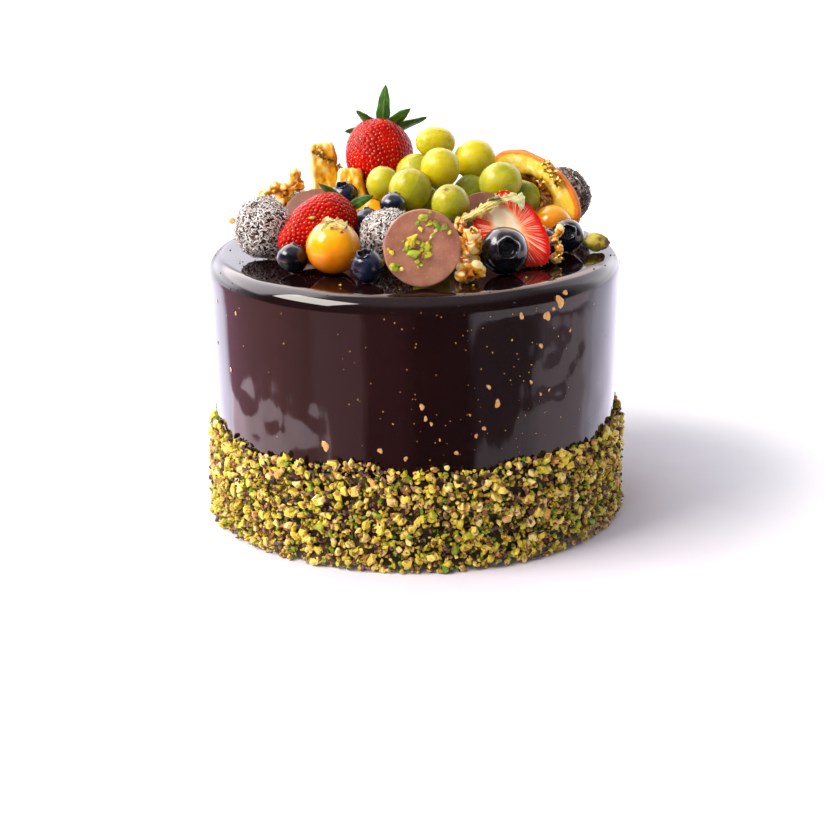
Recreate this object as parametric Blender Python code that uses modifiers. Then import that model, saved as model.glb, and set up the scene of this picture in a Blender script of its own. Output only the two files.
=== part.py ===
"""Glazed chocolate drum cake with a chopped pistachio band and a heap of fruit and sweets.

Units are metres, +Z is up, the origin is the middle of the cake's base and the
front of the cake faces -Y.  Placement figures are given in millimetres.
"""
import math
import random

import bmesh
import bpy
from mathutils import Matrix, Vector

MM = 0.001                      # one millimetre in metres

# --- driving dimensions, mm -------------------------------------------------
CAKE_RADIUS = 90.0              # outer radius just under the shoulder
CAKE_HEIGHT = 116.0             # glazed top above the base
SHOULDER = 7.8                  # radius of the rounded top edge
WALL_TAPER = 1.7                # the wall is this much narrower at the band
BAND_HEIGHT = 43.0              # mean height of the pistachio band
BAND_RADIUS = 91.0              # mean outer radius of the pistachio band
BAND_INNER = 85.0               # the band reaches this far into the drum
BAND_BUMP = 1.1                 # how far the band swells in and out
BAND_EDGE_WAVE = 2.4            # how far its top edge wanders up and down
BAND_LIP = 0.9                  # least step out from the wall at the band's top edge
BAND_LIP_BUMP = 0.8             # how much more that step can be
BAND_FALL = 0.5                 # the top edge drops this far to its hidden inner side
CRUMB_COUNT = 60                # larger crumbs standing out of the band
CRUMB_LARGE = 3.3               # radius of the largest crumb
CRUMB_SMALL = 2.2               # radius of the smallest crumb
CRUMB_ROWS = 6                  # rings of crumbs, one above another
CRUMB_REACH = 91.1              # distance of a crumb's middle from the axis
CRUMB_TOP_INSET = 0.8           # the top ring's crumbs stand this much closer in
CRUMB_FLOOR = 1.15              # least height of a crumb's middle, in its own radii
CRUMB_UNEVEN = 0.22             # share by which a crumb's corners move in or out
DRUM_STEPS = 80                 # facets round the drum and the band
BAND_ROWS = 6                   # facets up the band
SHOULDER_STEPS = 4              # facets over the rounded top edge
DISC_RADIUS = 15.5              # chocolate disc
DISC_THICK = 4.8
DISC_EDGE = 0.7                 # broken edge of a disc
FRUIT_EDGE = 1.1                # broken edge of a cut fruit piece
LEAF_THICK = 0.9                # calyx leaves and husk
MERGE = 0.00001                 # metres; closer points on the axis become one
SEED = 41

for old in list(bpy.data.objects):
    bpy.data.objects.remove(old)

cake_parts = bpy.data.collections.new("chocolate_cake")
cutters = bpy.data.collections.new("cutters")
bpy.context.scene.collection.children.link(cake_parts)
bpy.context.scene.collection.children.link(cutters)


def material(name, color, roughness):
    mat = bpy.data.materials.new(name)
    mat.use_nodes = True
    shader = mat.node_tree.nodes["Principled BSDF"]
    shader.inputs["Base Color"].default_value = (*color, 1.0)
    shader.inputs["Roughness"].default_value = roughness
    shader.inputs["Metallic"].default_value = 0.0
    mat.diffuse_color = (*color, 1.0)
    return mat


GLAZE = material("glaze", (0.020, 0.008, 0.009), 0.08)
TRUFFLE = material("truffle_coconut", (0.20, 0.15, 0.14), 0.8)
MILK_CHOCOLATE = material("milk_chocolate", (0.25, 0.115, 0.085), 0.5)
STRAWBERRY = material("strawberry_skin", (0.60, 0.020, 0.015), 0.3)
STRAWBERRY_CUT = material("strawberry_flesh", (0.80, 0.14, 0.07), 0.35)
LEAF = material("green_leaf", (0.045, 0.14, 0.03), 0.5)
GRAPE = material("white_grape", (0.42, 0.47, 0.09), 0.25)
BLUEBERRY = material("blue_berry", (0.025, 0.035, 0.07), 0.4)
PHYSALIS = material("physalis", (0.85, 0.32, 0.015), 0.2)
HUSK = material("dry_husk", (0.62, 0.50, 0.20), 0.7)
ORANGE = material("orange_flesh", (0.85, 0.42, 0.06), 0.35)
APRICOT = material("apricot", (0.85, 0.45, 0.06), 0.4)
CRUNCH = material("caramel_crunch", (0.72, 0.36, 0.10), 0.35)
PISTACHIO = material("pistachio", (0.42, 0.40, 0.07), 0.6)


def add_mesh(name, bm, mat, smooth=True, collection=cake_parts):
    mesh = bpy.data.meshes.new(name)
    bm.to_mesh(mesh)
    bm.free()
    mesh.materials.append(mat)
    for face in mesh.polygons:
        face.use_smooth = smooth
    obj = bpy.data.objects.new(name, mesh)
    collection.objects.link(obj)
    return obj


def aim(obj, at, axis, turn=0.0):
    """Put the piece at a point with its own +Z along axis, turned about it."""
    spin = Matrix.Rotation(math.radians(turn), 4, "Z")
    tilt = Vector((0, 0, 1)).rotation_difference(Vector(axis).normalized())
    place = Matrix.Translation(Vector(at) * MM) @ tilt.to_matrix().to_4x4() @ spin
    obj.data.transform(place)


def turned(name, profile, steps, mat):
    """Solid of revolution about Z from (radius, height) pairs, top to bottom."""
    bm = bmesh.new()
    points = [bm.verts.new((r * MM, 0.0, z * MM)) for r, z in profile]
    for upper, lower in zip(points, points[1:]):
        bm.edges.new((upper, lower))
    obj = add_mesh(name, bm, mat)
    screw = obj.modifiers.new("turn", "SCREW")
    screw.steps = steps
    screw.render_steps = steps
    screw.use_merge_vertices = True
    screw.merge_threshold = MERGE
    screw.use_normal_calculate = True
    bake(obj)
    return obj


def bake(obj):
    """Replace the mesh by what its modifiers make of it."""
    depsgraph = bpy.context.evaluated_depsgraph_get()
    result = bpy.data.meshes.new_from_object(obj.evaluated_get(depsgraph))
    obj.modifiers.clear()
    obj.data = result
    for face in result.polygons:
        face.use_smooth = True


def rough_ball(radius, subdivisions, jitter, rng, stretch=(1, 1, 1)):
    """Irregular lump: an icosphere with its corners moved at random."""
    bm = bmesh.new()
    bmesh.ops.create_icosphere(bm, subdivisions=subdivisions, radius=radius * MM)
    for vert in bm.verts:
        vert.co *= 1.0 + jitter * (2.0 * rng.random() - 1.0)
        vert.co = Vector(a * b for a, b in zip(vert.co, stretch))
    return bm


def fuse(core, extras):
    """Join lumps to the core by one Boolean union."""
    group = bpy.data.collections.new("lumps")
    bpy.context.scene.collection.children.link(group)
    for extra in extras:
        group.objects.link(extra)
        extra.users_collection[0].objects.unlink(extra)
    union = core.modifiers.new("fuse", "BOOLEAN")
    union.operation = "UNION"
    union.operand_type = "COLLECTION"
    union.collection = group
    union.solver = "MANIFOLD"
    bake(core)
    for extra in extras:
        bpy.data.objects.remove(extra)
    bpy.data.collections.remove(group)


# --- the cake ----------------------------------------------------------------
def shoulder_profile():
    flat = CAKE_RADIUS - SHOULDER
    points = [(0.0, CAKE_HEIGHT)]
    for step in range(SHOULDER_STEPS + 1):
        angle = math.radians(90.0 * (1.0 - step / SHOULDER_STEPS))
        points.append((flat + SHOULDER * math.cos(angle),
                       CAKE_HEIGHT - SHOULDER + SHOULDER * math.sin(angle)))
    low = CAKE_RADIUS - WALL_TAPER
    points.append((low, BAND_HEIGHT - BAND_EDGE_WAVE))
    points.append((low, 0.0))
    points.append((0.0, 0.0))
    return points


def band_ring(rng):
    """Bumpy ring round the base with an uneven top edge."""
    bm = bmesh.new()
    rows = []
    for row in range(BAND_ROWS + 1):
        ring = []
        for step in range(DRUM_STEPS):
            angle = 2 * math.pi * step / DRUM_STEPS
            wave = math.sin(3 * angle + 0.7) + math.sin(7 * angle + 2.0)
            edge = BAND_HEIGHT + BAND_EDGE_WAVE * (0.3 * wave + 0.8 * rng.random() - 0.4)
            radius = BAND_RADIUS + BAND_BUMP * (2 * rng.random() - 1)
            if row == BAND_ROWS:
                radius = CAKE_RADIUS - WALL_TAPER + BAND_LIP + BAND_LIP_BUMP * rng.random()
            if row == 0:
                radius = BAND_RADIUS
            height = edge * row / BAND_ROWS
            ring.append(bm.verts.new((radius * math.cos(angle) * MM,
                                      radius * math.sin(angle) * MM, height * MM)))
        rows.append(ring)
    inner_low = []
    inner_high = []
    for step in range(DRUM_STEPS):
        angle = 2 * math.pi * step / DRUM_STEPS
        x = BAND_INNER * math.cos(angle) * MM
        y = BAND_INNER * math.sin(angle) * MM
        inner_low.append(bm.verts.new((x, y, 0.0)))
        inner_high.append(bm.verts.new((x, y, rows[-1][step].co.z - BAND_FALL * MM)))
    loops = [inner_low] + rows + [inner_high]
    for lower, upper in zip(loops, loops[1:] + loops[:1]):
        for step in range(DRUM_STEPS):
            after = (step + 1) % DRUM_STEPS
            bm.faces.new((lower[step], lower[after], upper[after], upper[step]))
    bmesh.ops.triangulate(bm, faces=bm.faces[:])
    return add_mesh("band", bm, PISTACHIO)


def crumb_lumps(rng):
    """Larger crumbs on a stratified pattern: largest first, the top edge favoured."""
    lumps = []
    columns = CRUMB_COUNT // CRUMB_ROWS
    for index in range(CRUMB_ROWS * columns):
        row = CRUMB_ROWS - 1 - index // columns
        column = index % columns
        share = index / (CRUMB_ROWS * columns)
        radius = CRUMB_LARGE + (CRUMB_SMALL - CRUMB_LARGE) * share
        radius *= 0.88 + 0.24 * rng.random()
        angle = 2 * math.pi * (column + 0.5 * (row % 2) + 0.5 * rng.random()) / columns
        height = BAND_HEIGHT * (row + 0.35 + 0.5 * rng.random()) / CRUMB_ROWS
        height = max(height, radius * CRUMB_FLOOR)
        reach = CRUMB_REACH if row < CRUMB_ROWS - 1 else CRUMB_REACH - CRUMB_TOP_INSET
        stretch = (1.0, 0.75 + 0.3 * rng.random(), 0.7 + 0.3 * rng.random())
        bm = rough_ball(radius, 1, CRUMB_UNEVEN, rng, stretch)
        turn = Matrix.Rotation(angle + 3.0 * rng.random(), 4, "Z")
        bm.transform(Matrix.Translation((reach * math.cos(angle) * MM,
                                         reach * math.sin(angle) * MM,
                                         height * MM)) @ turn)
        lumps.append(add_mesh("crumb", bm, PISTACHIO))
    return lumps


def build_cake():
    rng = random.Random(SEED)
    cake = turned("cake", shoulder_profile(), DRUM_STEPS, GLAZE)
    cake.data.materials.append(PISTACHIO)
    fuse(cake, [band_ring(rng)] + crumb_lumps(rng))
    for face in cake.data.polygons:
        face.use_smooth = face.material_index == 0


# --- fruit and sweets ------------------------------------------------------------
def grape(name, at, radius, axis=(0, 0, 1), stretch=1.08, fine=True):
    bm = bmesh.new()
    around, down = (11, 6) if fine else (10, 5)
    bmesh.ops.create_uvsphere(bm, u_segments=around, v_segments=down, radius=radius * MM)
    for vert in bm.verts:
        vert.co.z *= stretch
    aim(add_mesh(name, bm, GRAPE), at, axis)


BERRY_PROFILE = ((0.0, 0.60), (0.24, 0.60), (0.36, 0.86), (0.72, 0.64),
                 (1.0, 0.04), (0.83, -0.52), (0.43, -0.80), (0.0, -0.88))


def berry(name, at, radius, axis=(0, 0, 1)):
    profile = [(r * radius, z * radius) for r, z in BERRY_PROFILE]
    aim(turned(name, profile, 12, BLUEBERRY), at, axis)


PHYSALIS_PROFILE = ((0.0, 0.98), (0.22, 0.97), (0.32, 0.91), (0.76, 0.62),
                    (1.0, 0.04), (0.84, -0.54), (0.44, -0.88), (0.0, -0.98))


def physalis(name, at, radius, axis=(0, 0, 1)):
    profile = [(r * radius, z * radius) for r, z in PHYSALIS_PROFILE]
    aim(turned(name, profile, 14, PHYSALIS), at, axis)


# radius share against place along the berry, calyx end (1) to tip (0)
STRAWBERRY_PROFILE = ((0.0, 0.94), (0.45, 0.98), (0.84, 0.90), (1.0, 0.73),
                      (0.97, 0.53), (0.82, 0.33), (0.57, 0.15), (0.29, 0.04), (0.0, 0.0))


def strawberry_body(name, radius, length, steps, mat):
    profile = [(r * radius, (z - 0.5) * length) for r, z in STRAWBERRY_PROFILE]
    return turned(name, profile, steps, mat)


def strawberry(name, at, radius, length, axis):
    aim(strawberry_body(name, radius, length, 14, STRAWBERRY), at, axis)


def half_strawberry(name, at, radius, length, face, up):
    """Strawberry cut lengthwise: local +Z to the calyx, cut face along -Y."""
    body = strawberry_body(name, radius, length, 18, STRAWBERRY_CUT)
    bm = bmesh.new()
    bmesh.ops.create_cube(bm, size=2 * length * MM)
    bm.transform(Matrix.Translation((0, -length * MM, 0)))
    cutter = add_mesh("half_cutter", bm, STRAWBERRY_CUT, False, cutters)
    cutter.display_type = "WIRE"
    cutter.hide_render = True
    cut = body.modifiers.new("cut", "BOOLEAN")
    cut.operation = "DIFFERENCE"
    cut.object = cutter
    cut.solver = "EXACT"
    bake(body)
    bpy.data.objects.remove(cutter)
    z_axis = Vector(up).normalized()
    y_axis = -Vector(face).normalized()
    x_axis = y_axis.cross(z_axis).normalized()
    y_axis = z_axis.cross(x_axis).normalized()
    turn = Matrix((x_axis, y_axis, z_axis)).transposed().to_4x4()
    body.data.transform(Matrix.Translation(Vector(at) * MM) @ turn)


def truffle(name, at, radius, seed, stretch=(1, 1, 1)):
    rng = random.Random(seed)
    bm = bmesh.new()
    bmesh.ops.create_uvsphere(bm, u_segments=14, v_segments=8, radius=radius * MM)
    for vert in bm.verts:
        vert.co *= 1.0 + 0.035 * (2.0 * rng.random() - 1.0)
        vert.co = Vector(a * b for a, b in zip(vert.co, stretch))
    aim(add_mesh(name, bm, TRUFFLE), at, (0, 0, 1), 37.0 * seed)


def chocolate_disc(name, at, lean, heading, bits=(), radius=DISC_RADIUS):
    """Disc leaning back by lean degrees from upright, facing heading degrees from -Y."""
    bm = bmesh.new()
    bmesh.ops.create_cone(bm, cap_ends=True, segments=24, radius1=radius * MM,
                          radius2=radius * MM, depth=DISC_THICK * MM)
    disc = add_mesh(name, bm, MILK_CHOCOLATE)
    bevel = disc.modifiers.new("edge", "BEVEL")
    bevel.width = DISC_EDGE * MM
    bevel.segments = 1
    bake(disc)
    rng = random.Random(SEED)
    lumps = []
    for x, y, size in bits:
        bm = rough_ball(size, 1, 0.2, rng, (1.0, 0.75, 0.8))
        turn = Matrix.Rotation(6.0 * rng.random(), 4, "Z")
        bm.transform(Matrix.Translation((x * MM, y * MM, DISC_THICK * 0.5 * MM)) @ turn)
        lumps.append(add_mesh("bit", bm, PISTACHIO))
    if lumps:
        fuse(disc, lumps)
    tip = Matrix.Rotation(math.radians(90.0 - lean), 4, "X")
    swing = Matrix.Rotation(math.radians(heading), 4, "Z")
    disc.data.transform(Matrix.Translation(Vector(at) * MM) @ swing @ tip)


def leaf_rows(length, width, lift, bend, side):
    """Reach, half width, height and swerve of the stations along one leaf, and its tip."""
    rows = []
    for share, spread in ((0.0, 0.62), (0.38, 1.0), (0.72, 0.66)):
        rows.append((share * length, spread * width * 0.5,
                     lift * share * length + bend * share * share * length,
                     side * share * share * length))
    tip = (length, lift * length + bend * length, side * length)
    return rows, tip


def calyx(name, at, axis, hub, leaves, turn=0.0):
    """Thin star of pointed leaves round a small hub, one wavy sheet made solid."""
    bm = bmesh.new()
    middle = bm.verts.new((0, 0, 0.4 * MM))
    roots = []
    for heading, length, width, lift, bend, side in leaves:
        angle = math.radians(heading)
        out = Vector((math.cos(angle), math.sin(angle), 0))
        across = Vector((-math.sin(angle), math.cos(angle), 0))
        rows, tip = leaf_rows(length, width, lift, bend, side)
        stations = []
        for reach, half, height, swerve in rows:
            ridge = 0.22 * half
            centre = out * (hub + reach) + across * swerve
            row = []
            for share, fold in ((-1.0, ridge), (0.0, 0.0), (1.0, ridge)):
                point = centre + across * (half * share)
                row.append(bm.verts.new((point.x * MM, point.y * MM,
                                         (height + fold) * MM)))
            stations.append(row)
        end = out * (hub + tip[0]) + across * tip[2]
        point = bm.verts.new((end.x * MM, end.y * MM, tip[1] * MM))
        for near, far in zip(stations, stations[1:]):
            for k in range(2):
                bm.faces.new((near[k], far[k], far[k + 1]))
                bm.faces.new((near[k], far[k + 1], near[k + 1]))
        for k in range(2):
            bm.faces.new((stations[-1][k], point, stations[-1][k + 1]))
        roots.append(stations[0])
    for index, root in enumerate(roots):
        following = roots[(index + 1) % len(roots)]
        bm.faces.new((middle, root[0], root[1]))
        bm.faces.new((middle, root[1], root[2]))
        bm.faces.new((middle, root[2], following[0]))
    bmesh.ops.recalc_face_normals(bm, faces=bm.faces[:])
    star = add_mesh(name, bm, LEAF)
    thicken(star)
    aim(star, at, axis, turn)


def thicken(sheet):
    solid = sheet.modifiers.new("thickness", "SOLIDIFY")
    solid.thickness = LEAF_THICK * MM
    solid.offset = 0.0
    bake(sheet)


def husk(name, stations):
    """Crumpled strip of dry husk from (left, middle, right) points, mm."""
    bm = bmesh.new()
    rows = []
    for row in stations:
        rows.append([bm.verts.new(Vector(point) * MM) for point in row])
    for near, far in zip(rows, rows[1:]):
        for k in range(2):
            bm.faces.new((near[k], near[k + 1], far[k + 1]))
            bm.faces.new((near[k], far[k + 1], far[k]))
    bmesh.ops.recalc_face_normals(bm, faces=bm.faces[:])
    thicken(add_mesh(name, bm, HUSK))


APRICOT_PROFILE = ((0.0, -0.40), (0.26, -0.34), (0.43, -0.07), (0.52, 0.0), (0.93, 0.0),
                   (1.0, -0.09), (0.90, -0.38), (0.62, -0.64), (0.30, -0.76), (0.0, -0.79))


def apricot_half(name, at, half_size, face, along):
    """Halved stone fruit; half_size is (length, width, depth) from the face's centre."""
    body = turned(name, APRICOT_PROFILE, 16, APRICOT)
    normal = Vector(face).normalized()
    lengthways = (Vector(along) - normal * Vector(along).dot(normal)).normalized()
    across = normal.cross(lengthways)
    length, width, depth = half_size
    grow = Matrix((lengthways * length, across * width, normal * depth)).transposed()
    body.data.transform(Matrix.Translation(Vector(at) * MM) @ grow.to_4x4())


def orange_piece(name, at, size, top, lean, heading):
    """Slab of fruit: a box with its top edge narrowed and shifted."""
    width, depth, height = size
    narrow, shift = top
    bm = bmesh.new()
    bmesh.ops.create_cube(bm, size=1.0)
    for vert in bm.verts:
        vert.co.x *= width
        if vert.co.z > 0:
            vert.co.x = vert.co.x * narrow + shift
        vert.co.y *= depth
        vert.co.z *= height
        vert.co *= MM
    slab = add_mesh(name, bm, ORANGE)
    bevel = slab.modifiers.new("edge", "BEVEL")
    bevel.width = FRUIT_EDGE * MM
    bevel.segments = 1
    bake(slab)
    tip = Matrix.Rotation(math.radians(-lean), 4, "X")
    swing = Matrix.Rotation(math.radians(heading), 4, "Z")
    slab.data.transform(Matrix.Translation(Vector(at) * MM) @ swing @ tip)


def crunch(name, seed, lumps):
    """Cluster of caramelised lumps fused together; lumps are (x, y, z, radius)."""
    rng = random.Random(seed)
    pieces = []
    for x, y, z, radius in lumps:
        stretch = (0.9 + 0.3 * rng.random(), 0.8 + 0.2 * rng.random(),
                   0.85 + 0.3 * rng.random())
        bm = rough_ball(radius, 1, 0.16, rng, stretch)
        bm.transform(Matrix.Translation((x * MM, y * MM, z * MM)))
        pieces.append(add_mesh(name, bm, CRUNCH))
    fuse(pieces[0], pieces[1:])


def nut(name, at, size, axis, seed):
    rng = random.Random(seed)
    bm = bmesh.new()
    bmesh.ops.create_uvsphere(bm, u_segments=9, v_segments=6, radius=MM)
    for vert in bm.verts:
        vert.co *= 1.0 + 0.09 * (2.0 * rng.random() - 1.0)
        vert.co = Vector(a * b for a, b in zip(vert.co, size))
    aim(add_mesh(name, bm, PISTACHIO), at, axis)


build_cake()

truffle("truffle_left", (-64.2, -17.6, 129.4), 12.5, 1, (1.0, 1.0, 1.05))
truffle("truffle_middle", (-10.6, -33.5, 128.5), 12.0, 2)
truffle("truffle_right", (68.3, 41.2, 129.8), 12.7, 3, (0.95, 0.98, 1.06))
truffle("truffle_back_left", (-57.0, 45.0, 126.6), 10.2, 4)
truffle("truffle_back", (2.4, 46.6, 127.8), 11.8, 5)

chocolate_disc("disc_front", (3.3, -71.2, 131.8), 11.0, 3.0,
               ((0.5, 11.6, 1.5), (5.5, 9.0, 1.2), (-3.6, 3.6, 1.7), (-3.2, -1.2, 2.0),
                (1.8, 0.8, 1.4), (1.4, -2.9, 1.7), (-11.6, -7.6, 1.6), (6.0, -4.6, 0.9)))
chocolate_disc("disc_left", (-41.4, 14.2, 128.0), 60.0, 0.0)
chocolate_disc("disc_middle", (30.4, -13.5, 129.4), 33.0, 2.0, (), 13.6)
chocolate_disc("disc_back", (-0.5, 63.6, 131.7), 18.0, 184.0)

strawberry("strawberry_top", (-15.6, 32.6, 148.8), 14.8, 33.0, (0.10, 0.79, 0.60))
strawberry("strawberry_left", (-41.8, -25.2, 130.0), 11.8, 38.0, (0.697, 0.658, 0.293))
strawberry("strawberry_back", (-27.5, 55.4, 129.0), 12.8, 34.0, (0.50, -0.80, 0.15))
half_strawberry("strawberry_half", (42.8, -36.0, 130.0), 12.4, 36.0,
                (0.05, -0.93, 0.37), (-0.69, 0.28, 0.66))

grape("grape_01", (-13.1, 6.5, 143.4), 7.2, (0.2, 0.1, 1.0), 1.04)
grape("grape_02", (-1.3, -5.5, 143.0), 9.2, (0.5, 0.2, 1.0), 1.03)
grape("grape_03", (1.0, 18.5, 145.8), 8.2, (1.0, 0.2, 0.3), 1.03)
grape("grape_04", (11.9, 4.5, 150.2), 8.6, (0.3, 0.3, 1.0), 1.04)
grape("grape_05", (10.2, 24.0, 158.0), 7.0, (1.0, 0.3, -0.1), 1.30)
grape("grape_06", (27.4, 23.4, 150.4), 8.8, (1.0, 0.2, 0.25), 1.07)
grape("grape_07", (15.7, -25.0, 140.4), 8.1, (0.2, -1.0, 0.3), 1.04)
grape("grape_08", (25.0, 12.2, 137.8), 7.6, (0.2, 0.6, 1.0), 1.04)
grape("grape_09", (37.9, 2.0, 144.2), 8.7, (1.0, 0.3, 0.2), 1.08)
grape("grape_10", (48.0, 12.2, 134.8), 7.7, (0.4, 0.2, 1.0), 1.08)
grape("grape_11", (7.4, -46.8, 124.6), 8.2, (0.0, 0.3, 1.0), 1.04, False)
grape("grape_12", (8.0, -21.2, 125.2), 9.0, (1.0, 0.2, 0.0), 1.04, False)
grape("grape_13", (27.8, -0.6, 125.4), 9.4, (0.4, 1.0, 0.0), 1.04, False)
grape("grape_14", (9.0, -2.4, 125.0), 8.8, (1.0, 0.2, 0.1), 1.04, False)
grape("grape_15", (-4.5, 19.0, 125.1), 9.0, (0.6, 1.0, 0.1), 1.04, False)
grape("grape_16", (16.0, 18.4, 124.1), 8.0, (0.3, 1.0, 0.0), 1.0, False)
grape("grape_17", (36.0, 16.0, 124.0), 7.8, (1.0, 0.3, 0.0), 1.02, False)
grape("grape_18", (12.6, 38.0, 142.9), 8.0, (0.2, 0.4, 1.0), 1.06)
grape("grape_19", (4.2, 8.0, 135.4), 7.0, (0.2, 0.4, 1.0), 1.0, False)

berry("blue_berry_01", (-50.4, -46.0, 122.4), 6.6, (0.35, -0.50, 0.80))
berry("blue_berry_02", (-19.0, -63.0, 122.8), 7.1, (-0.15, -0.35, 0.92))
berry("blue_berry_03", (37.4, -50.8, 125.8), 10.0, (0.10, -0.93, 0.30))
berry("blue_berry_04", (66.1, -11.2, 123.3), 7.2, (0.0, -0.90, 0.40))
berry("blue_berry_05", (55.6, -19.4, 122.2), 6.4, (0.5, 0.3, 0.80))
berry("blue_berry_06", (-29.8, 6.6, 138.4), 5.8, (-0.2, -0.3, 0.9))
berry("blue_berry_07", (-8.5, -19.2, 138.7), 5.7, (0.1, 0.5, 0.85))
berry("blue_berry_08", (-20.0, -8.4, 130.2), 5.7, (-0.3, 0.2, 0.9))
berry("blue_berry_09", (-17.4, -15.6, 122.0), 6.2, (0.2, 0.4, 0.9))
berry("blue_berry_10", (50.8, 51.5, 122.2), 6.2, (0.35, 0.80, 0.45))
berry("blue_berry_11", (20.5, 63.0, 122.9), 7.0, (0.2, 0.85, 0.40))

physalis("physalis_front", (-33.3, -49.0, 127.8), 11.4, (0.06, -0.22, 0.97))
physalis("physalis_right", (60.8, 3.8, 124.9), 8.8, (0.25, 0.45, 0.85))
physalis("physalis_middle", (-17.8, 5.6, 128.6), 8.2, (-0.25, 0.10, 0.95))
physalis("physalis_back", (35.5, 50.5, 125.1), 9.0, (0.20, 0.35, 0.92))

apricot_half("apricot_half", (53.1, 24.0, 134.8), (26.4, 16.5, 11.3), (-0.64, -0.77, 0.0),
             (0.70, -0.58, -0.41))

orange_piece("orange_tall", (-36.6, 33.0, 136.4), (16.0, 6.0, 40.0), (0.72, -4.4), 4.0, 6.0)
orange_piece("orange_small", (-26.4, 16.4, 140.4), (15.0, 6.0, 15.0), (0.66, -1.6), 14.0, -8.0)

crunch("crunch_front_low", 5, ((21.4, -67.6, 121.4, 4.2), (25.8, -66.0, 121.1, 3.7),
                               (19.2, -70.6, 119.9, 2.8), (24.4, -68.6, 123.4, 3.0)))
crunch("crunch_front_high", 6, ((23.6, -54.6, 128.2, 4.9), (24.2, -54.4, 133.6, 4.0),
                                (21.8, -54.0, 121.8, 4.8), (19.4, -51.6, 136.8, 3.4),
                                (17.6, -54.4, 129.4, 3.8)))
crunch("crunch_right", 7, ((59.4, -35.6, 118.9, 2.8), (60.4, -34.8, 123.0, 2.6),
                           (59.4, -33.6, 127.0, 2.6), (61.0, -33.2, 130.0, 2.0)))
crunch("crunch_back_left", 8, ((-57.4, 30.4, 135.8, 4.6), (-61.8, 30.0, 136.8, 4.0),
                               (-66.4, 29.6, 133.8, 3.1), (-52.2, 31.4, 138.8, 3.8),
                               (-52.4, 31.6, 143.0, 3.0), (-58.4, 30.4, 128.8, 5.2),
                               (-59.4, 30.0, 121.2, 5.4)))
crunch("crunch_back", 9, ((34.0, 66.2, 120.4, 4.0), (29.6, 69.2, 119.6, 3.0),
                          (37.6, 63.6, 120.0, 3.2), (33.6, 66.6, 124.2, 3.0)))

nut("pistachio_right", (78.8, -11.2, 120.4), (5.6, 4.0, 3.9), (0.25, 0.0, 1.0), 3)

calyx("calyx_top", (-13.9, 45.9, 159.3), (0.10, 0.79, 0.60), 4.0,
      ((2, 15.4, 6.4, 0.55, 0.05, -0.10), (60, 10.0, 5.6, 0.0, -0.1, 0.0),
       (116, 10.0, 5.6, 0.0, -0.1, 0.0), (172, 13.0, 5.4, 0.0, 0.0, 0.05),
       (222, 12.0, 5.4, 0.1, 0.0, 0.0), (270, 14.6, 6.4, 0.55, 0.12, 0.0),
       (316, 13.0, 6.0, 0.34, 0.0, 0.0)))
calyx("calyx_left", (-28.0, -12.2, 136.0), (0.697, 0.658, 0.293), 2.6,
      ((194, 13.2, 6.0, -0.22, -0.16, 0.0), (284, 9.0, 5.0, 0.62, 0.12, 0.1),
       (40, 3.2, 4.0, 0.1, 0.0, 0.0), (112, 6.0, 4.5, 0.0, 0.0, 0.0)))

husk("husk", (((16.4, -35.6, 132.6), (17.0, -36.2, 134.4), (17.6, -35.2, 136.0)),
              ((22.8, -35.6, 134.6), (23.4, -36.0, 137.0), (24.0, -34.6, 139.0)),
              ((29.0, -36.0, 137.6), (29.6, -35.8, 140.4), (30.2, -34.2, 142.4)),
              ((35.2, -35.4, 141.2), (35.8, -34.8, 143.2), (36.4, -33.2, 145.2)),
              ((41.2, -33.8, 142.6), (41.8, -33.0, 144.2), (42.4, -31.4, 146.0)),
              ((46.2, -33.0, 138.8), (46.6, -32.4, 142.0), (46.8, -31.0, 144.8))))
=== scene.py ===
import math

import bmesh
import bpy
import numpy as np
from mathutils import Matrix, Vector


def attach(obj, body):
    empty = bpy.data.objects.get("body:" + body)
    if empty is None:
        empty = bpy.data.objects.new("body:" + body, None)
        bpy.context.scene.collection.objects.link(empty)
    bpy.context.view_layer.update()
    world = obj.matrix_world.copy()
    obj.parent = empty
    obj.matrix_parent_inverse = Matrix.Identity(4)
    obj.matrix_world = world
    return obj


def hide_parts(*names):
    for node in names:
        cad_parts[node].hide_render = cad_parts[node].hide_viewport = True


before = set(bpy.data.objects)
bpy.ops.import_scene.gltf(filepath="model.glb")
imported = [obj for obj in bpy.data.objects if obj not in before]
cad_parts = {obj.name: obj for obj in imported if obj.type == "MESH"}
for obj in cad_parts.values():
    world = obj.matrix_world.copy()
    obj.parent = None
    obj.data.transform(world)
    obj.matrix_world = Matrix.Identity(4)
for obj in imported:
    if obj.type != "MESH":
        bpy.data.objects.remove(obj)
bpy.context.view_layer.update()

# Glazed chocolate drum cake: a chopped nut band round its foot, fruit and sweets heaped on top.
# Sizes are in millimetres unless they say otherwise, +Z is up and the front faces -Y.

mm = 0.001
fullTurn = 2 * math.pi
goldenShare = 0.6180339887  # of a turn, spreads places evenly in a spiral
goldenAngle = 2.399963  # the rest of the turn, in radians
pieces = {}


def linear(code, alpha=1.0):
    # sRGB hex to the linear colour that shaders want
    parts = [int(code[i:i + 2], 16) / 255 for i in (1, 3, 5)]
    return tuple(c / 12.92 if c <= 0.04045 else ((c + 0.055) / 1.055) ** 2.4 for c in parts) + (alpha,)


def stopColour(tone):
    # a ramp's stop is a hex colour, a linear triple or a grey
    if isinstance(tone, str):
        return linear(tone)
    return (*tone, 1.0) if isinstance(tone, tuple) else (tone, tone, tone, 1.0)


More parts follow.
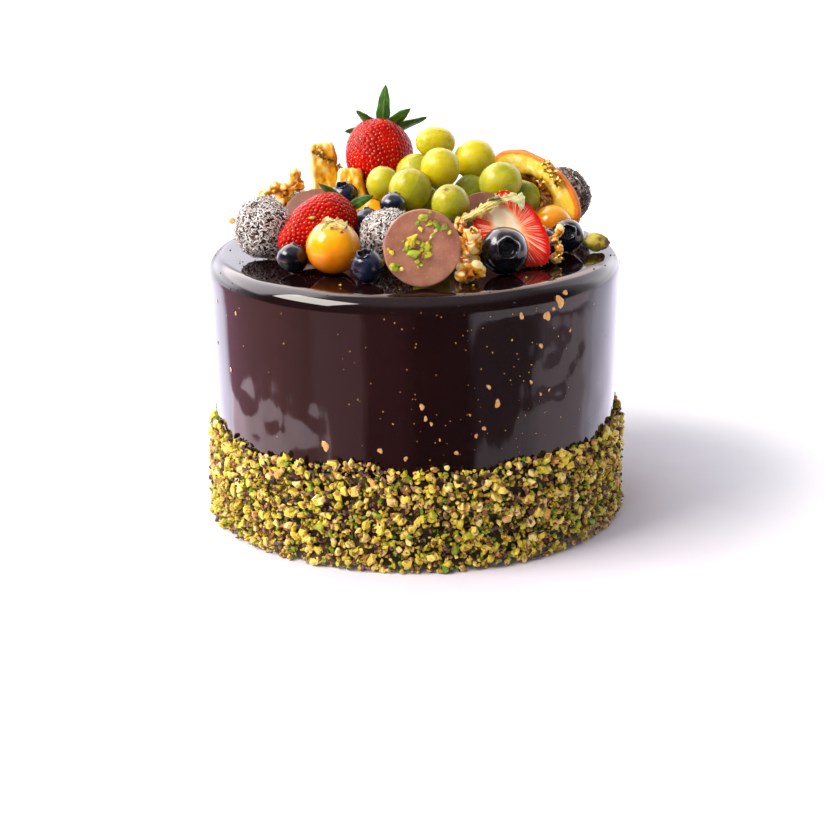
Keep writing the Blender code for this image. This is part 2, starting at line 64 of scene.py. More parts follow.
def addNode(tree, kind, settings, out=None):
    # kind may carry an operation or an attribute's name; settings are by name or in order, sockets
    # are linked and other values set; gives back the named output or the first one in use
    kind, _, word = kind.partition(" ")
    node = tree.nodes.new("ShaderNode" + kind)
    if word:
        setattr(node, "attribute_name" if kind == "Attribute" else "operation", word)
    if isinstance(settings, tuple):
        settings = dict(enumerate(settings))
    for key, value in settings.items():
        if isinstance(value, bpy.types.NodeSocket):
            tree.links.new(value, node.inputs[key])
        elif key == "pitch":                # millimetres from one feature to the next
            node.inputs["Scale"].default_value = 1000.0 / value
        elif key == "stops":
            while len(node.color_ramp.elements) < len(value):
                node.color_ramp.elements.new(1.0)
            for stop, (place, tone) in zip(node.color_ramp.elements, value):
                stop.position = place
                stop.color = stopColour(tone)
        elif isinstance(key, int) or key[0].isupper():
            node.inputs[key].default_value = linear(value) if isinstance(value, str) else value
        else:
            setattr(node, key, value)
    return node.outputs[out] if out else next(o for o in node.outputs if o.enabled)


def newMaterial(name, settings):
    mat = bpy.data.materials.new(name)
    mat.use_nodes = True
    shader = mat.node_tree.nodes["Principled BSDF"]
    for key, value in settings.items():
        if key == "Subsurface":
            for part, each in zip((" Weight", " Radius", " Scale"), value):
                shader.inputs[key + part].default_value = each
        else:
            shader.inputs[key].default_value = value
    place = addNode(mat.node_tree, "TexCoord", {}, "Object")
    usual = {"TexNoise": {"Vector": place}, "Mix": {"data_type": "RGBA"}}    # unless told otherwise

    def add(kind, given, out=None):
        if kind in usual:
            given = {**usual[kind], **given}
        return addNode(mat.node_tree, kind, given, out)
    return mat, add


def finish(mat, colour, relief=None, gloss=None, glow=None):
    # plugs the textures into the shader; relief is (height, strength, depth in metres)
    given = {"Base Color": colour, "Roughness": gloss, "Emission Strength": glow}
    if relief:
        bump = dict(zip(("Height", "Strength", "Distance"), relief))
        given["Normal"] = addNode(mat.node_tree, "Bump", bump)
    for key, socket in given.items():
        if socket is not None:
            mat.node_tree.links.new(socket, mat.node_tree.nodes["Principled BSDF"].inputs[key])
    return mat


def glowMaterial(name):
    # material that only gives light: itself, its node tree and the socket for the light
    mat = bpy.data.materials.new(name)
    mat.use_nodes = True
    tree = mat.node_tree
    tree.nodes.remove(tree.nodes["Principled BSDF"])
    return mat, tree, tree.nodes["Material Output"].inputs["Surface"]


def addObject(name, data):
    obj = bpy.data.objects.new(name, data)
    bpy.context.scene.collection.objects.link(obj)
    return obj


def stageObject(name, verts, faces, mat, unseenBy):
    # plain part of the studio, in metres, left out of the kinds of light ray that are named
    mesh = bpy.data.meshes.new(name)
    mesh.from_pydata(verts, [], faces)
    mesh.materials.append(mat)
    obj = addObject(name, mesh)
    for ray in unseenBy:
        setattr(obj, "visible_" + ray, False)
    return obj


def circle(radius, count):
    angles = np.linspace(0, fullTurn, count, endpoint=False)
    return [(radius * math.cos(a), radius * math.sin(a)) for a in angles]


def unit(vector):
    vector = np.asarray(vector, float)
    return vector / np.linalg.norm(vector)


def turnTo(axis, turn=0.0):
    # turns +Z onto the axis by the shortest way, after a turn about itself
    tilt = Vector((0, 0, 1)).rotation_difference(Vector(axis).normalized()).to_matrix()
    return np.array(tilt @ Matrix.Rotation(math.radians(turn), 3, "Z"))


def tipTurn(tip, heading):
    # tips over about X, then swings about Z, both in degrees
    swing = Matrix.Rotation(math.radians(heading), 3, "Z")
    return np.array(swing @ Matrix.Rotation(math.radians(tip), 3, "X"))


def ripples(points, size, seed, waves=18):
    # smooth uneven field, about -1 to 1, with bumps about size apart
    dice = np.random.default_rng(seed)
    ways = dice.normal(size=(waves, 3))
    ways /= np.linalg.norm(ways, axis=1)[:, None]
    pitch = size * dice.uniform(0.7, 1.6, waves)
    phase = dice.uniform(0, fullTurn, waves)
    field = np.sin(np.asarray(points) @ (ways * (fullTurn / pitch)[:, None]).T + phase).sum(1)
    return field / math.sqrt(waves)


def smoothLine(points, count):
    # even points on a Catmull-Rom curve through the given ones
    points = np.asarray(points, float)
    padded = np.vstack([2 * points[0] - points[1], points, 2 * points[-1] - points[-2]])
    dense = []
    for a, b, c, d in zip(padded, padded[1:], padded[2:], padded[3:]):
        for t in np.linspace(0, 1, 24, endpoint=False):
            dense.append(0.5 * (2 * b + (c - a) * t + (2 * a - 5 * b + 4 * c - d) * t * t
                                + (3 * b - a - 3 * c + d) * t ** 3))
    dense = np.array(dense + [points[-1]])
    steps = np.r_[0, np.cumsum(np.linalg.norm(np.diff(dense, axis=0), axis=1))]
    wanted = np.linspace(0, steps[-1], count)
    return np.stack([np.interp(wanted, steps, dense[:, k]) for k in range(points.shape[1])], 1)


def ballProfile(rows):
    # half circle of radius 1 from the top pole to the bottom one
    turns = np.linspace(0, math.pi, rows)
    return np.stack([np.sin(turns), np.cos(turns)], 1)


def lathe(profile, steps):
    # closed turned form from (radius, height) rows, top pole first, bottom pole last; gives back
    # verts, faces, each vert's share of the way down and its angle
    profile = np.asarray(profile, float)
    angles = np.arange(steps) * fullTurn / steps
    rings = profile[1:-1]
    body = np.stack([np.outer(rings[:, 0], np.cos(angles)), np.outer(rings[:, 0], np.sin(angles)),
                     np.repeat(rings[:, 1:2], steps, 1)], 2).reshape(-1, 3)
    verts = np.vstack([[0, 0, profile[0, 1]], body, [0, 0, profile[-1, 1]]])
    last = len(verts) - 1
    faces = []
    for i in range(steps):
        j = (i + 1) % steps
        faces.append((0, 1 + i, 1 + j))
        for k in range(len(rings) - 1):
            a, b = 1 + k * steps, 1 + (k + 1) * steps
            faces.append((a + i, b + i, b + j, a + j))
        a = 1 + (len(rings) - 1) * steps
        faces.append((last, a + j, a + i))
    rows = np.r_[0, np.repeat(np.arange(1, len(profile) - 1), steps), len(profile) - 1]
    around = np.r_[0, np.tile(angles, len(rings)), 0]
    return verts, faces, rows / (len(profile) - 1), around


def outward(verts, faces):
    # the way out at each vertex
    normals = np.zeros_like(verts)
    quads = np.array([f if len(f) == 4 else (*f, f[-1]) for f in faces])
    cross = np.cross(verts[quads[:, 2]] - verts[quads[:, 0]], verts[quads[:, 3]] - verts[quads[:, 1]])
    flat = quads[:, 3] == quads[:, 2]
    cross[flat] = np.cross(verts[quads[flat, 1]] - verts[quads[flat, 0]],
                           verts[quads[flat, 2]] - verts[quads[flat, 0]])
    for k in range(4):
        np.add.at(normals, quads[:, k], cross)
    return normals / np.maximum(np.linalg.norm(normals, axis=1), 1e-12)[:, None]


def sheet(grid, shift, closed=False):
    # thin solid sheet from rows of points, its back moved by shift; a closed one runs round
    rows, cols = grid.shape[:2]
    top = grid.reshape(-1, 3)
    lift = rows * cols
    faces, rim = [], []
    for j in range(cols if closed else cols - 1):
        n = (j + 1) % cols
        for i in range(rows - 1):
            a, b, c, d = i * cols + j, i * cols + n, (i + 1) * cols + n, (i + 1) * cols + j
            faces += [(a, d, c, b), (lift + a, lift + b, lift + c, lift + d)]
        rim += [(n, j), (lift - cols + j, lift - cols + n)]
    if not closed:
        for i in range(rows - 1):
            rim += [(i * cols, (i + 1) * cols), ((i + 2) * cols - 1, (i + 1) * cols - 1)]
    faces += [(a, a + lift, b + lift, b) for a, b in rim]
    return np.vstack([top, top + shift]), faces


def makePiece(name, verts, faces, materials, replaced=(), attributes=None, smooth=True):
    # verts in millimetres, in the cake's own frame
    mesh = bpy.data.meshes.new(name)
    mesh.from_pydata((np.asarray(verts) * mm).tolist(), [], [tuple(f) for f in faces])
    for mat in materials:
        mesh.materials.append(mat)
    mesh.polygons.foreach_set("use_smooth", np.full(len(mesh.polygons), smooth))
    for key, values in (attributes or {}).items():
        layer = mesh.attributes.new(key, "FLOAT", "POINT")
        layer.data.foreach_set("value", np.asarray(values, dtype=np.float32))
    mesh.update()
    obj = addObject(name, mesh)
    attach(obj, "root")
    if replaced:
        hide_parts(*replaced)
    pieces[name] = obj
    return obj


def scatterPiece(name, shapes, placed, materials, smooth=False):
    # joins many small copies; placed rows are (shape, centre, 3x3 turn and size, tone)
    foot = 0.05  # nothing sinks below this height
    verts, faces, tones = [], [], []
    start = 0
    for index, centre, turn, tone in placed:
        shapeVerts, shapeFaces = shapes[index % len(shapes)]
        verts.append(shapeVerts @ turn.T + centre)
        faces.extend([tuple(start + i for i in f) for f in shapeFaces])
        tones.append(np.full(len(shapeVerts), tone))
        start += len(shapeVerts)
    verts = np.vstack(verts)
    verts[:, 2] = np.maximum(verts[:, 2], foot)
    makePiece(name, verts, faces, materials, (), {"tone": np.concatenate(tones)}, smooth)


def chippedShapes(count, corners, seed, flatness=0.75):
    # angular chips, hulls of random points, about 1 across
    dice = np.random.default_rng(seed)
    shapes = []
    for number in range(count):
        points = dice.normal(size=(corners, 3))
        points /= np.linalg.norm(points, axis=1)[:, None]
        points *= 0.5 * dice.uniform(0.8, 1.1, (corners, 1))
        points[:, 2] *= dice.uniform(flatness - 0.2, flatness + 0.2)
        points[:, 1] *= dice.uniform(0.75, 1.0)
        bm = bmesh.new()
        for point in points:
            bm.verts.new(point)
        hull = bmesh.ops.convex_hull(bm, input=bm.verts[:])
        loose = [e for e in hull["geom_interior"] if isinstance(e, bmesh.types.BMVert)]
        bmesh.ops.delete(bm, geom=loose, context="VERTS")
        bm.verts.index_update()
        bmesh.ops.recalc_face_normals(bm, faces=bm.faces[:])
        shapes.append((np.array([v.co[:] for v in bm.verts]),
                       [tuple(v.index for v in f.verts) for f in bm.faces]))
        bm.free()
    return shapes


def randomTurn(dice, size):
    # random turn times (x, y, z) sizes
    q = dice.normal(size=4)
    w, x, y, z = q / np.linalg.norm(q)
    turn = np.array([[1 - 2 * (y * y + z * z), 2 * (x * y - z * w), 2 * (x * z + y * w)],
                     [2 * (x * y + z * w), 1 - 2 * (x * x + z * z), 2 * (y * z - x * w)],
                     [2 * (x * z - y * w), 2 * (y * z + x * w), 1 - 2 * (x * x + y * y)]])
    return turn * np.asarray(size, float)[None, :]


def tangentTurn(normal, dice, size, tilt):
    # lies on a surface with this normal, tipped a little and turned at random in its plane
    w = unit(unit(normal) + tilt * dice.normal(size=3) * 0.6)
    u = unit(np.cross(w, dice.normal(size=3)))
    v = np.cross(w, u)
    return np.stack([u, v, w], 1) * np.asarray(size, float)[None, :]


def randomTone(dice, middle, spread):
    # a crumb's own place in its colour ramp
    return min(1.0, max(0.0, dice.normal(middle, spread)))


# camera, room and light

view = {
    "place": (0.0, -0.855, 0.308),  # metres
    "pitch": 17.38,  # degrees down
    "yaw": -0.0013,  # radians
    "roll": -0.0113,
    "focal": 2000,  # in pixels of a picture this wide
    "pictureWidth": 826,
    "sensor": 36.0,
    "reach": (0.05, 60),  # metres, nearest and furthest seen
}


def setCamera():
    pitch = math.radians(view["pitch"])
    forward = Vector((math.sin(view["yaw"]) * math.cos(pitch),
                      math.cos(view["yaw"]) * math.cos(pitch), -math.sin(pitch)))
    right = Vector((math.cos(view["yaw"]), -math.sin(view["yaw"]), 0))
    up = right.cross(forward)
    across = right * math.cos(view["roll"]) + up * math.sin(view["roll"])
    over = up * math.cos(view["roll"]) - right * math.sin(view["roll"])
    turn = Matrix((across, over, -forward)).transposed().to_4x4()
    data = bpy.data.cameras.new("camera")
    data.sensor_width = view["sensor"]
    data.lens = view["sensor"] * view["focal"] / view["pictureWidth"]
    data.clip_start, data.clip_end = view["reach"]
    camera = addObject("camera", data)
    camera.matrix_world = Matrix.Translation(view["place"]) @ turn
    bpy.context.scene.camera = camera


setCamera()

# the room in degrees: turn is left (negative) or right of the camera as the cake sees it, rise
# is above the horizon; the floor hides the lower half from everything but the glaze
room = {
    "ambient": 0.08,
    "overhead": (48.0, 16.0, 0.48),  # rise, blend, strength
    # light behind the cake: turn from, turn to, up to this rise, blend, strength
    "behind": ((104, 190, 42, 18.0, 1.15), (118, 158, 24, 8.0, 1.7)),
    "behindBlend": 12.0,
    "horizon": (-4.0, 3.0),  # rise and blend between the lower and the upper half
    "waves": 9.0,  # how fine the uneven borders in the glaze are
    "sway": 7.0,  # degrees that they wander sideways
    "heave": 3.2,  # and up and down
    "tint": "#faf8ff",
    "smearTint": "#fbeef6",
    # what the wall mirrors by turn: strength and tone, warm on the left, bluish on the right
    "mirrored": (
        (-180, 1.6, "#f1ebff"), (-166, 2.9, "#f1ebff"), (-134, 3.7, "#f1ebff"), (-128, 1.15, "#ffb8d8"),
        (-108, 1.15, "#ffb8c4"), (-84, 1.25, "#ffb4b4"), (-60, 0.9, "#ffb4b4"), (-57, 1.1, "#ffc1c4"),
        (-30, 1.0, "#ffbcc0"), (-27, 0.34, "#ffa6a6"), (-6, 0.28, "#ffa6a6"), (0, 0.07, "#ffb0b0"),
        (30, 0.05, "#f1ebff"), (37, 0.18, "#ffeaf6"), (68, 0.22, "#ffe4f0"), (76, 0.62, "#ffe0ee"),
        (92, 0.55, "#ffe0ee"), (108, 0.42, "#ffe0f2"), (119, 2.1, "#f1ebff"), (150, 2.5, "#f1ebff"),
        (180, 2.0, "#f1ebff")),
    "peak": 5.0,  # a ramp holds up to 1, so strengths are shares of this
    "smearBlends": (2.0, 3.0, 0.2),  # left, right, and along the slanted border
    # (turn from, turn to, rise at first turn, rise at second turn, above or below, strength)
    "smears": ((-132, -46, -17.6, -21.2, -1, 2.2), (31, 112, -18.0, -15.6, 1, 1.1),
               (33, 114, -21.7, -16.0, -1, 0.7)),
}


def setRoom():
    world = bpy.data.worlds.new("studio")
    bpy.context.scene.world = world
    world.use_nodes = True
    tree = world.node_tree
    back = tree.nodes["Background"]

    def math2(operation, *values):
        return addNode(tree, "Math " + operation, values)

    def step(source, at, blend, strength=1.0, rising=True):
        low, high = (0.0, strength) if rising else (strength, 0.0)
        return addNode(tree, "MapRange", {
            "interpolation_type": "SMOOTHSTEP", 0: source, 1: at - blend, 2: at + blend, 3: low, 4: high})

    place = addNode(tree, "TexCoord", {}, "Generated")
    split = addNode(tree, "SeparateXYZ", {0: place}).node
    front = math2("MULTIPLY", split.outputs["Y"], -1.0)
    turn = math2("MULTIPLY", math2("ARCTAN2", split.outputs["X"], front), 180 / math.pi)
    rise = math2("MULTIPLY", math2("ARCSINE", split.outputs["Z"]), 180 / math.pi)
    away = math2("ABSOLUTE", turn)

    at, blend, strength = room["overhead"]
    sky = math2("ADD", step(rise, at, blend, strength), room["ambient"])
    for first, last, top, blend, strength in room["behind"]:
        window = math2("MULTIPLY", step(away, first, blend, strength), step(away, last, blend, 1.0, False))
        sky = math2("MULTIPLY_ADD", window, step(rise, top, room["behindBlend"], 1.0, False), sky)

    # what only the glaze sees, with soft uneven borders
    waves = addNode(tree, "TexNoise", {
        "Scale": room["waves"], "Detail": 2.0, "Roughness": 0.55, "Vector": place})
    wavy = math2("SUBTRACT", waves, 0.5)
    swayed = math2("MULTIPLY_ADD", wavy, room["sway"], turn)
    lifted = math2("MULTIPLY_ADD", wavy, room["heave"], rise)
    share = math2("MULTIPLY_ADD", swayed, 1 / 360, 0.5)
    stops = [((at + 180) / 360, tuple(c * strength / room["peak"] for c in linear(tone)[:3]))
             for at, strength, tone in room["mirrored"]]
    mirrored = addNode(tree, "ValToRGB", {"Fac": share, "stops": stops})
    low = 0.0
    leftBlend, rightBlend, borderBlend = room["smearBlends"]
    for left, right, riseLeft, riseRight, side, strength in room["smears"]:
        slope = (riseRight - riseLeft) / (right - left)
        border = math2("MULTIPLY_ADD", turn, -slope, math2("ADD", lifted, slope * left - riseLeft))
        window = math2("MULTIPLY", step(swayed, left, leftBlend),
                       step(swayed, right, rightBlend, 1.0, False))
        low = math2("MULTIPLY_ADD", window, step(border, 0.0, borderBlend, strength, side > 0), low)

    def scaled(colour, amount):
        return addNode(tree, "VectorMath SCALE", {0: colour, "Scale": amount})

    streaks = scaled(linear(room["smearTint"])[:3], low)
    lower = addNode(tree, "VectorMath ADD", {0: scaled(mirrored, room["peak"]), 1: streaks})
    upper = scaled(linear(room["tint"])[:3], sky)
    below = step(rise, *room["horizon"], 1.0, False)
    both = addNode(tree, "Mix", {"data_type": "VECTOR", "Factor": below, "A": upper, "B": lower})
    tree.links.new(both, back.inputs["Color"])


setRoom()

lamps = {
    # name: (place in metres, aimed at, width, height, watts, colour, seen in gloss)
    "sideSoftbox": ((-1.04, -0.40, 1.14), (0, 0, 0.12), 1.0, 0.75, 34.0, "#fff8f0", True),
    "frontSoftbox": ((-0.75, -1.35, 1.05), (0, 0, 0.12), 1.1, 0.9, 8.5, "#fffdfb", False),
}


def setLamps():
    for name, (place, target, width, height, watts, code, mirrored) in lamps.items():
        data = bpy.data.lights.new(name, "AREA")
        data.shape = "RECTANGLE"
        data.size = width
        data.size_y = height
        data.energy = watts
        data.color = linear(code)[:3]
        lamp = addObject(name, data)
        lamp.location = place
        lamp.visible_glossy = mirrored
        aim = Vector(target) - Vector(place)
        lamp.rotation_euler = aim.to_track_quat("-Z", "Y").to_euler()


setLamps()


wall = {"reach": 14.5, "sides": 64, "bottom": -0.5, "top": 12.0, "glow": 1.05}  # metres


def makeBackdrop():
    # seamless white wall far round the cake, only for the camera to see
    mat, tree, surface = glowMaterial("backdropWhite")
    glow = addNode(tree, "Emission", {"Color": (1.0, 1.0, 1.0, 1.0), "Strength": wall["glow"]})
    tree.links.new(glow, surface)
    sides = wall["sides"]
    verts = [(x, y, z) for z in (wall["bottom"], wall["top"]) for x, y in circle(wall["reach"], sides)]
    faces = [(i, (i + 1) % sides, sides + (i + 1) % sides, sides + i) for i in range(sides)]
    backdrop = stageObject("backdrop", verts, faces, mat, ("diffuse", "glossy", "transmission", "shadow"))


makeBackdrop()


reflectors = {
    "reach": 13.0,  # metres from the cake
    "peak": 5.0,
    "blend": 7.0,
    "grid": ((-100, 101, 2.0), (0, 77, 2.0)),  # bearings and rises: from, to, step
    # in degrees: bearing from straight behind (left is negative), half width, rise, half height,
    # then strength and tone
    "sheets": ((-36, 32, 13, 6, 1.3, "#f4efff"), (34, 30, 13, 6, 0.5, "#f4efff"),
               (-50, 34, 42, 22, 4.2, "#fbf2f4"), (6, 24, 44, 20, 2.4, "#ffdcc6"),
               (46, 20, 36, 16, 0.6, "#f4efff")),
}


def makeReflectors():
    # lit sheets of paper behind the cake, mirrored by glaze and wet fruit alone
    mat, tree, surface = glowMaterial("litPaper")
    tone = addNode(tree, "Attribute glow", {}, "Color")
    glow = addNode(tree, "Emission", {"Color": tone, "Strength": reflectors["peak"]})
    clear = addNode(tree, "BsdfTransparent", {})
    both = addNode(tree, "AddShader", (glow, clear))
    tree.links.new(both, surface)
    bearing, rise = np.meshgrid(*(np.arange(*span) for span in reflectors["grid"]))
    tones = np.zeros(bearing.shape + (4,))
    for middle, wide, height, tall, strength, code in reflectors["sheets"]:
        inside = np.ones(bearing.shape)
        for gap in (wide - np.abs(bearing - middle), tall - np.abs(rise - height)):
            share = np.clip(gap / reflectors["blend"] + 0.5, 0, 1)
            inside *= share * share * (3 - 2 * share)
        tones += inside[..., None] * strength / reflectors["peak"] * np.array(linear(code))
    flat, lift = np.radians(bearing), np.radians(rise)
    verts = np.stack([np.sin(flat) * np.cos(lift), np.cos(flat) * np.cos(lift), np.sin(lift)], -1)
    rows, across = bearing.shape
    faces = [(i * across + j, i * across + j + 1, (i + 1) * across + j + 1, (i + 1) * across + j)
             for i in range(rows - 1) for j in range(across - 1)]
    papers = stageObject("reflectors", (verts.reshape(-1, 3) * reflectors["reach"]).tolist(), faces, mat,
                         ("camera", "diffuse", "transmission", "shadow"))
    layer = papers.data.attributes.new("glow", "FLOAT_COLOR", "POINT")
    layer.data.foreach_set("color", tones.astype(np.float32).ravel())


makeReflectors()


card = {"reach": 14.0, "sides": 96, "drop": 0.0002}  # metres; it lies just clear of the cake's foot


def makeFloor():
    # matt white card with painted shade and painted light: lavender painted round the cake's foot as its
    # shade, and a painted glow that burns it out further off
    mat, add = newMaterial("whiteCardPaintedShadeAndGlow", {"Roughness": 0.85, "Specular IOR Level": 0.15})
    place = add("TexCoord", {}, "Object")
    reach = add("VectorMath LENGTH", {0: place}, "Value")
    speck = add("TexNoise", {"pitch": 30, "Detail": 4.0})
    far = add("Math MULTIPLY_ADD", (speck, 0.02, reach))
    # painted shade: the card is lavender near the cake and whiter further off
    tone = add("ValToRGB", {"Fac": far, "stops": ((0.10, "#dfdbe8"), (0.2, "#ecebf1"), (0.4, "#fdfdfe"))})
    # painted light: the card glows more the further it lies from the cake
    glow = add("ValToRGB", {"Fac": far, "stops": ((0.11, 0.0), (0.32, 0.5))})
    finish(mat, tone, glow=glow)
    mat.node_tree.nodes["Principled BSDF"].inputs["Emission Color"].default_value = (1, 1, 1, 1)
    # the glaze mirrors the room, not the card
    floor = stageObject("floor", [(x, y, 0.0) for x, y in circle(card["reach"], card["sides"])],
                        [tuple(range(card["sides"]))], mat, ("glossy",))
    floor.location.z = -card["drop"]


makeFloor()
bpy.context.scene.view_settings.view_transform = "Standard"
bpy.context.scene.view_settings.look = "None"
print("camera, room and light are set")


# glazed drum

drum = {
    "radius": 90.0,
    "height": 116.0,
    "shoulder": 7.8,
    "taper": 1.7,  # narrower by this at the band
    "bandTop": 43.0,
    "behindBand": (4.0, 1.2, 30.0),  # it ends this far under the band's top, steps in, reaches down to
    "foot": 0.6,  # clear of the floor
    "steps": 288,
    "rows": (26, 15, 22),  # across the top, over the shoulder, down the wall
    "inset": 0.18,  # the poured face lies this far inside the full size
    "wave": 0.055,  # how uneven the poured glaze is
    "wavePitch": 34.0,
    "color": "#1b0a0b",
    "deepColor": "#130708",
    # (angle in degrees, height, reach in degrees, reach in mm, extra waves) where it ran
    "runs": ((-134, 58, 16, 16, 0.15), (-122, 74, 6, 12, 0.08), (-48, 76, 12, 22, 0.12),
             (-30, 62, 12, 18, 0.10)),
    "runPitch": 13.0,
    # faint thick roll that the pour leaves under the shoulder: height, reach, swell, wave pitch
    "roll": (104.0, 7.0, 0.10, 22.0),
    "rollFrom": 80.0,  # only this far out from the axis
}


def glazeMaterial():
    # cocoa mirror glaze, poured and set: a hard clear face over dark brown, so the eye sees
    # sharp reflections first and the chocolate under them second
    mat, add = newMaterial("mirrorGlaze", {"Roughness": 0.045, "IOR": 1.5})
    cloud = add("TexNoise", {"pitch": 55, "Detail": 3.0})
    tone = add("ValToRGB", {"Fac": cloud, "stops": ((0.35, drum["deepColor"]), (0.68, drum["color"]))})
    speck = add("TexNoise", {"pitch": 1.1, "Detail": 2.0})
    return finish(mat, tone, (speck, 0.008, 0.0002))


mirrorGlaze = glazeMaterial()


def wallRadius(height):
    # radius of the glazed wall at a height
    low = drum["radius"] - drum["taper"]
    shoulderStart = drum["height"] - drum["shoulder"]
    share = np.clip((height - drum["bandTop"]) / (shoulderStart - drum["bandTop"]), 0, 1)
    radius = low + (drum["radius"] - low) * share
    over = np.clip((height - shoulderStart) / drum["shoulder"], 0, 1)
    return radius - drum["shoulder"] * (1 - np.sqrt(1 - over * over))


def makeDrum():
    flat = drum["radius"] - drum["shoulder"]
    low = drum["radius"] - drum["taper"]
    top = drum["height"]
    under, step, down = drum["behindBand"]
    topRows, shoulderRows, wallRows = drum["rows"]
    profile = [(0, top)]
    profile += [(r, top) for r in np.linspace(3, flat, topRows)]
    for angle in np.radians(np.linspace(90, 0, shoulderRows))[1:]:
        profile.append((flat + drum["shoulder"] * math.cos(angle),
                        top - drum["shoulder"] + drum["shoulder"] * math.sin(angle)))
    fall = drum["bandTop"] - under - top + drum["shoulder"]
    for share in np.linspace(0, 1, wallRows)[1:]:
        radius = drum["radius"] + (low - drum["radius"]) * share
        profile.append((radius, top - drum["shoulder"] + fall * share))
    profile += [(low - step, down), (low - step, drum["foot"]), (0, drum["foot"])]
    verts, faces = lathe(profile, drum["steps"])[:2]
    normals = outward(verts, faces)
    swell = ripples(verts, drum["wavePitch"], 11) * drum["wave"]
    angle = np.degrees(np.arctan2(verts[:, 1], verts[:, 0]))
    for middle, height, wide, tall, extra in drum["runs"]:
        apart = (angle - middle + 180) % 360 - 180
        near = np.exp(-(apart / wide) ** 2 - ((verts[:, 2] - height) / tall) ** 2)
        swell += near * extra * ripples(verts, drum["runPitch"], int(400 + middle))
    height, reach, thick, pitch = drum["roll"]
    roll = np.exp(-((verts[:, 2] - height) / reach) ** 2)
    roll *= np.hypot(verts[:, 0], verts[:, 1]) > drum["rollFrom"]
    swell += thick * roll * (1 + 0.5 * ripples(verts, pitch, 13))
    verts += normals * (swell - drum["inset"])[:, None]
    verts[:, 2] = np.maximum(verts[:, 2], drum["foot"] / 2)
    makePiece("glazedDrum", verts, faces, [mirrorGlaze], ("cake",))


makeDrum()

bubbles = {
    "count": 90,
    "size": 0.512,
    "rise": (55, 32),  # degrees up the shoulder: middle and spread
    "onTop": (1.3, 22),  # past this rise, in radians, they lie up to so far in from the edge
    "sunk": 0.12,
    "shape": ((0, 0.5), (0.3, 0.42), (0.48, 0.2), (0.55, -0.05), (0, -0.3)),
    "seed": 5,
}


def makeBubbles():
    # pinhead bubbles and crumbs caught under the glaze round the shoulder
    dice = np.random.default_rng(bubbles["seed"])
    flat = drum["radius"] - drum["shoulder"]
    bend = drum["shoulder"] - bubbles["sunk"]
    topRise, spread = bubbles["onTop"]
    placed = []
    for number in range(bubbles["count"]):
        angle = dice.uniform(0, fullTurn)
        rise = math.radians(min(89, max(2, dice.normal(*bubbles["rise"]))))
        reach = flat + bend * math.cos(rise) - (dice.uniform(0, spread) if rise > topRise else 0)
        height = drum["height"] - drum["shoulder"] + bend * math.sin(rise)
        out = np.array([math.cos(rise) * math.cos(angle), math.cos(rise) * math.sin(angle), math.sin(rise)])
        size = bubbles["size"] * dice.uniform(0.6, 1.7)
        centre = np.array([reach * math.cos(angle), reach * math.sin(angle), height])
        placed.append((0, centre, turnTo(out) * size, dice.random()))
    scatterPiece("glazeBubbles", [lathe(bubbles["shape"], 8)[:2]], placed, [mirrorGlaze], True)


makeBubbles()
print("drum is glazed")


# chopped pistachio band

band = {
    "height": 43.0,
    "edgeWave": 0.924,
    "core": 88.6,  # radius of the fine crumb behind the larger ones
    "thinEdge": (3.0, 1.0),  # this near the top edge, crumbs sit so much further in
    "fullFoot": (5.0, 0.5),  # below this height they sit so much further out
    "shapes": 24,
    # count, sizes, distances from the axis, lowest, how far past the top edge
    "kernels": (8200, (1.5, 3.2), (89.1, 91.5), 0.5, 0.8),
    "chunks": (1600, (2.7, 5.4), (90.2, 91.6), 1.2, 1.6),
    "skins": (2300, (1.6, 3.3), (90.4, 92.2), 0.8, 0.6),
    "seed": 21,
}


def nutMaterial(name, stops, skin, roughness=0.6):
    # chopped roasted nut, cut faces: dry, matt, each crumb its own colour, with darker skin
    # left on some sides
    mat, add = newMaterial(name, {
        "Roughness": roughness, "IOR": 1.46, "Subsurface": (0.1, (1.0, 0.8, 0.3), 0.0006)})
    tone = add("Attribute tone", {}, "Fac")
    grain = add("TexNoise", {"pitch": 1.3, "Detail": 3.0, "Roughness": 0.6})
    shift = add("MapRange", (grain, 0.3, 0.7, -0.06, 0.06))
    mixed = add("Math ADD", {"use_clamp": True, 0: tone, 1: shift})
    ramp = add("ValToRGB", {"Fac": mixed, "stops": stops})
    patch = add("TexNoise", {"pitch": 3.2, "Detail": 1.0})
    cover = add("MapRange", (patch, 0.58, 0.64, 0.0, 0.8))
    final = add("Mix", {"Factor": cover, "A": ramp, "B": skin})
    return finish(mat, final, (grain, 0.3, 0.0003))


pistachioKernel = nutMaterial("choppedPistachioKernel", (
    (0.0, "#4f7a12"), (0.12, "#83991a"), (0.26, "#b5a91e"), (0.42, "#d0b32a"), (0.56, "#dabd44"),
    (0.68, "#c0902e"), (0.78, "#ecd078"), (0.88, "#a85d2e"), (1.0, "#5c3833")), "#6b4430")
pistachioChunk = nutMaterial("choppedPistachioChunk", (
    (0.0, "#6f971a"), (0.2, "#aeb022"), (0.42, "#d9c034"), (0.62, "#e6ca58"),
    (0.82, "#f1da88"), (1.0, "#d3964a")), "#8a5637", 0.52)
pistachioSkin = nutMaterial("pistachioSkinFlake", (
    (0.0, "#33202a"), (0.30, "#5a3647"), (0.55, "#7a4c5a"), (0.78, "#96523a"), (1.0, "#b5794a")),
    "#43272a", 0.66)
# painted shade: the fine crumb behind the band is painted near black, as the gaps between crumbs fall in
# shade
groundNutAndGapShade = nutMaterial("groundPistachioAndGapShade", (
    (0.0, "#1c130b"), (0.5, "#3a2b12"), (1.0, "#685820")), "#1f1110")


def bandEdge(angle):
    # height of the band's uneven top edge
    wave = np.sin(3 * angle + 0.7) + np.sin(7 * angle + 2.0) + 0.8 * np.sin(17 * angle + 1.1)
    return band["height"] + band["edgeWave"] * wave


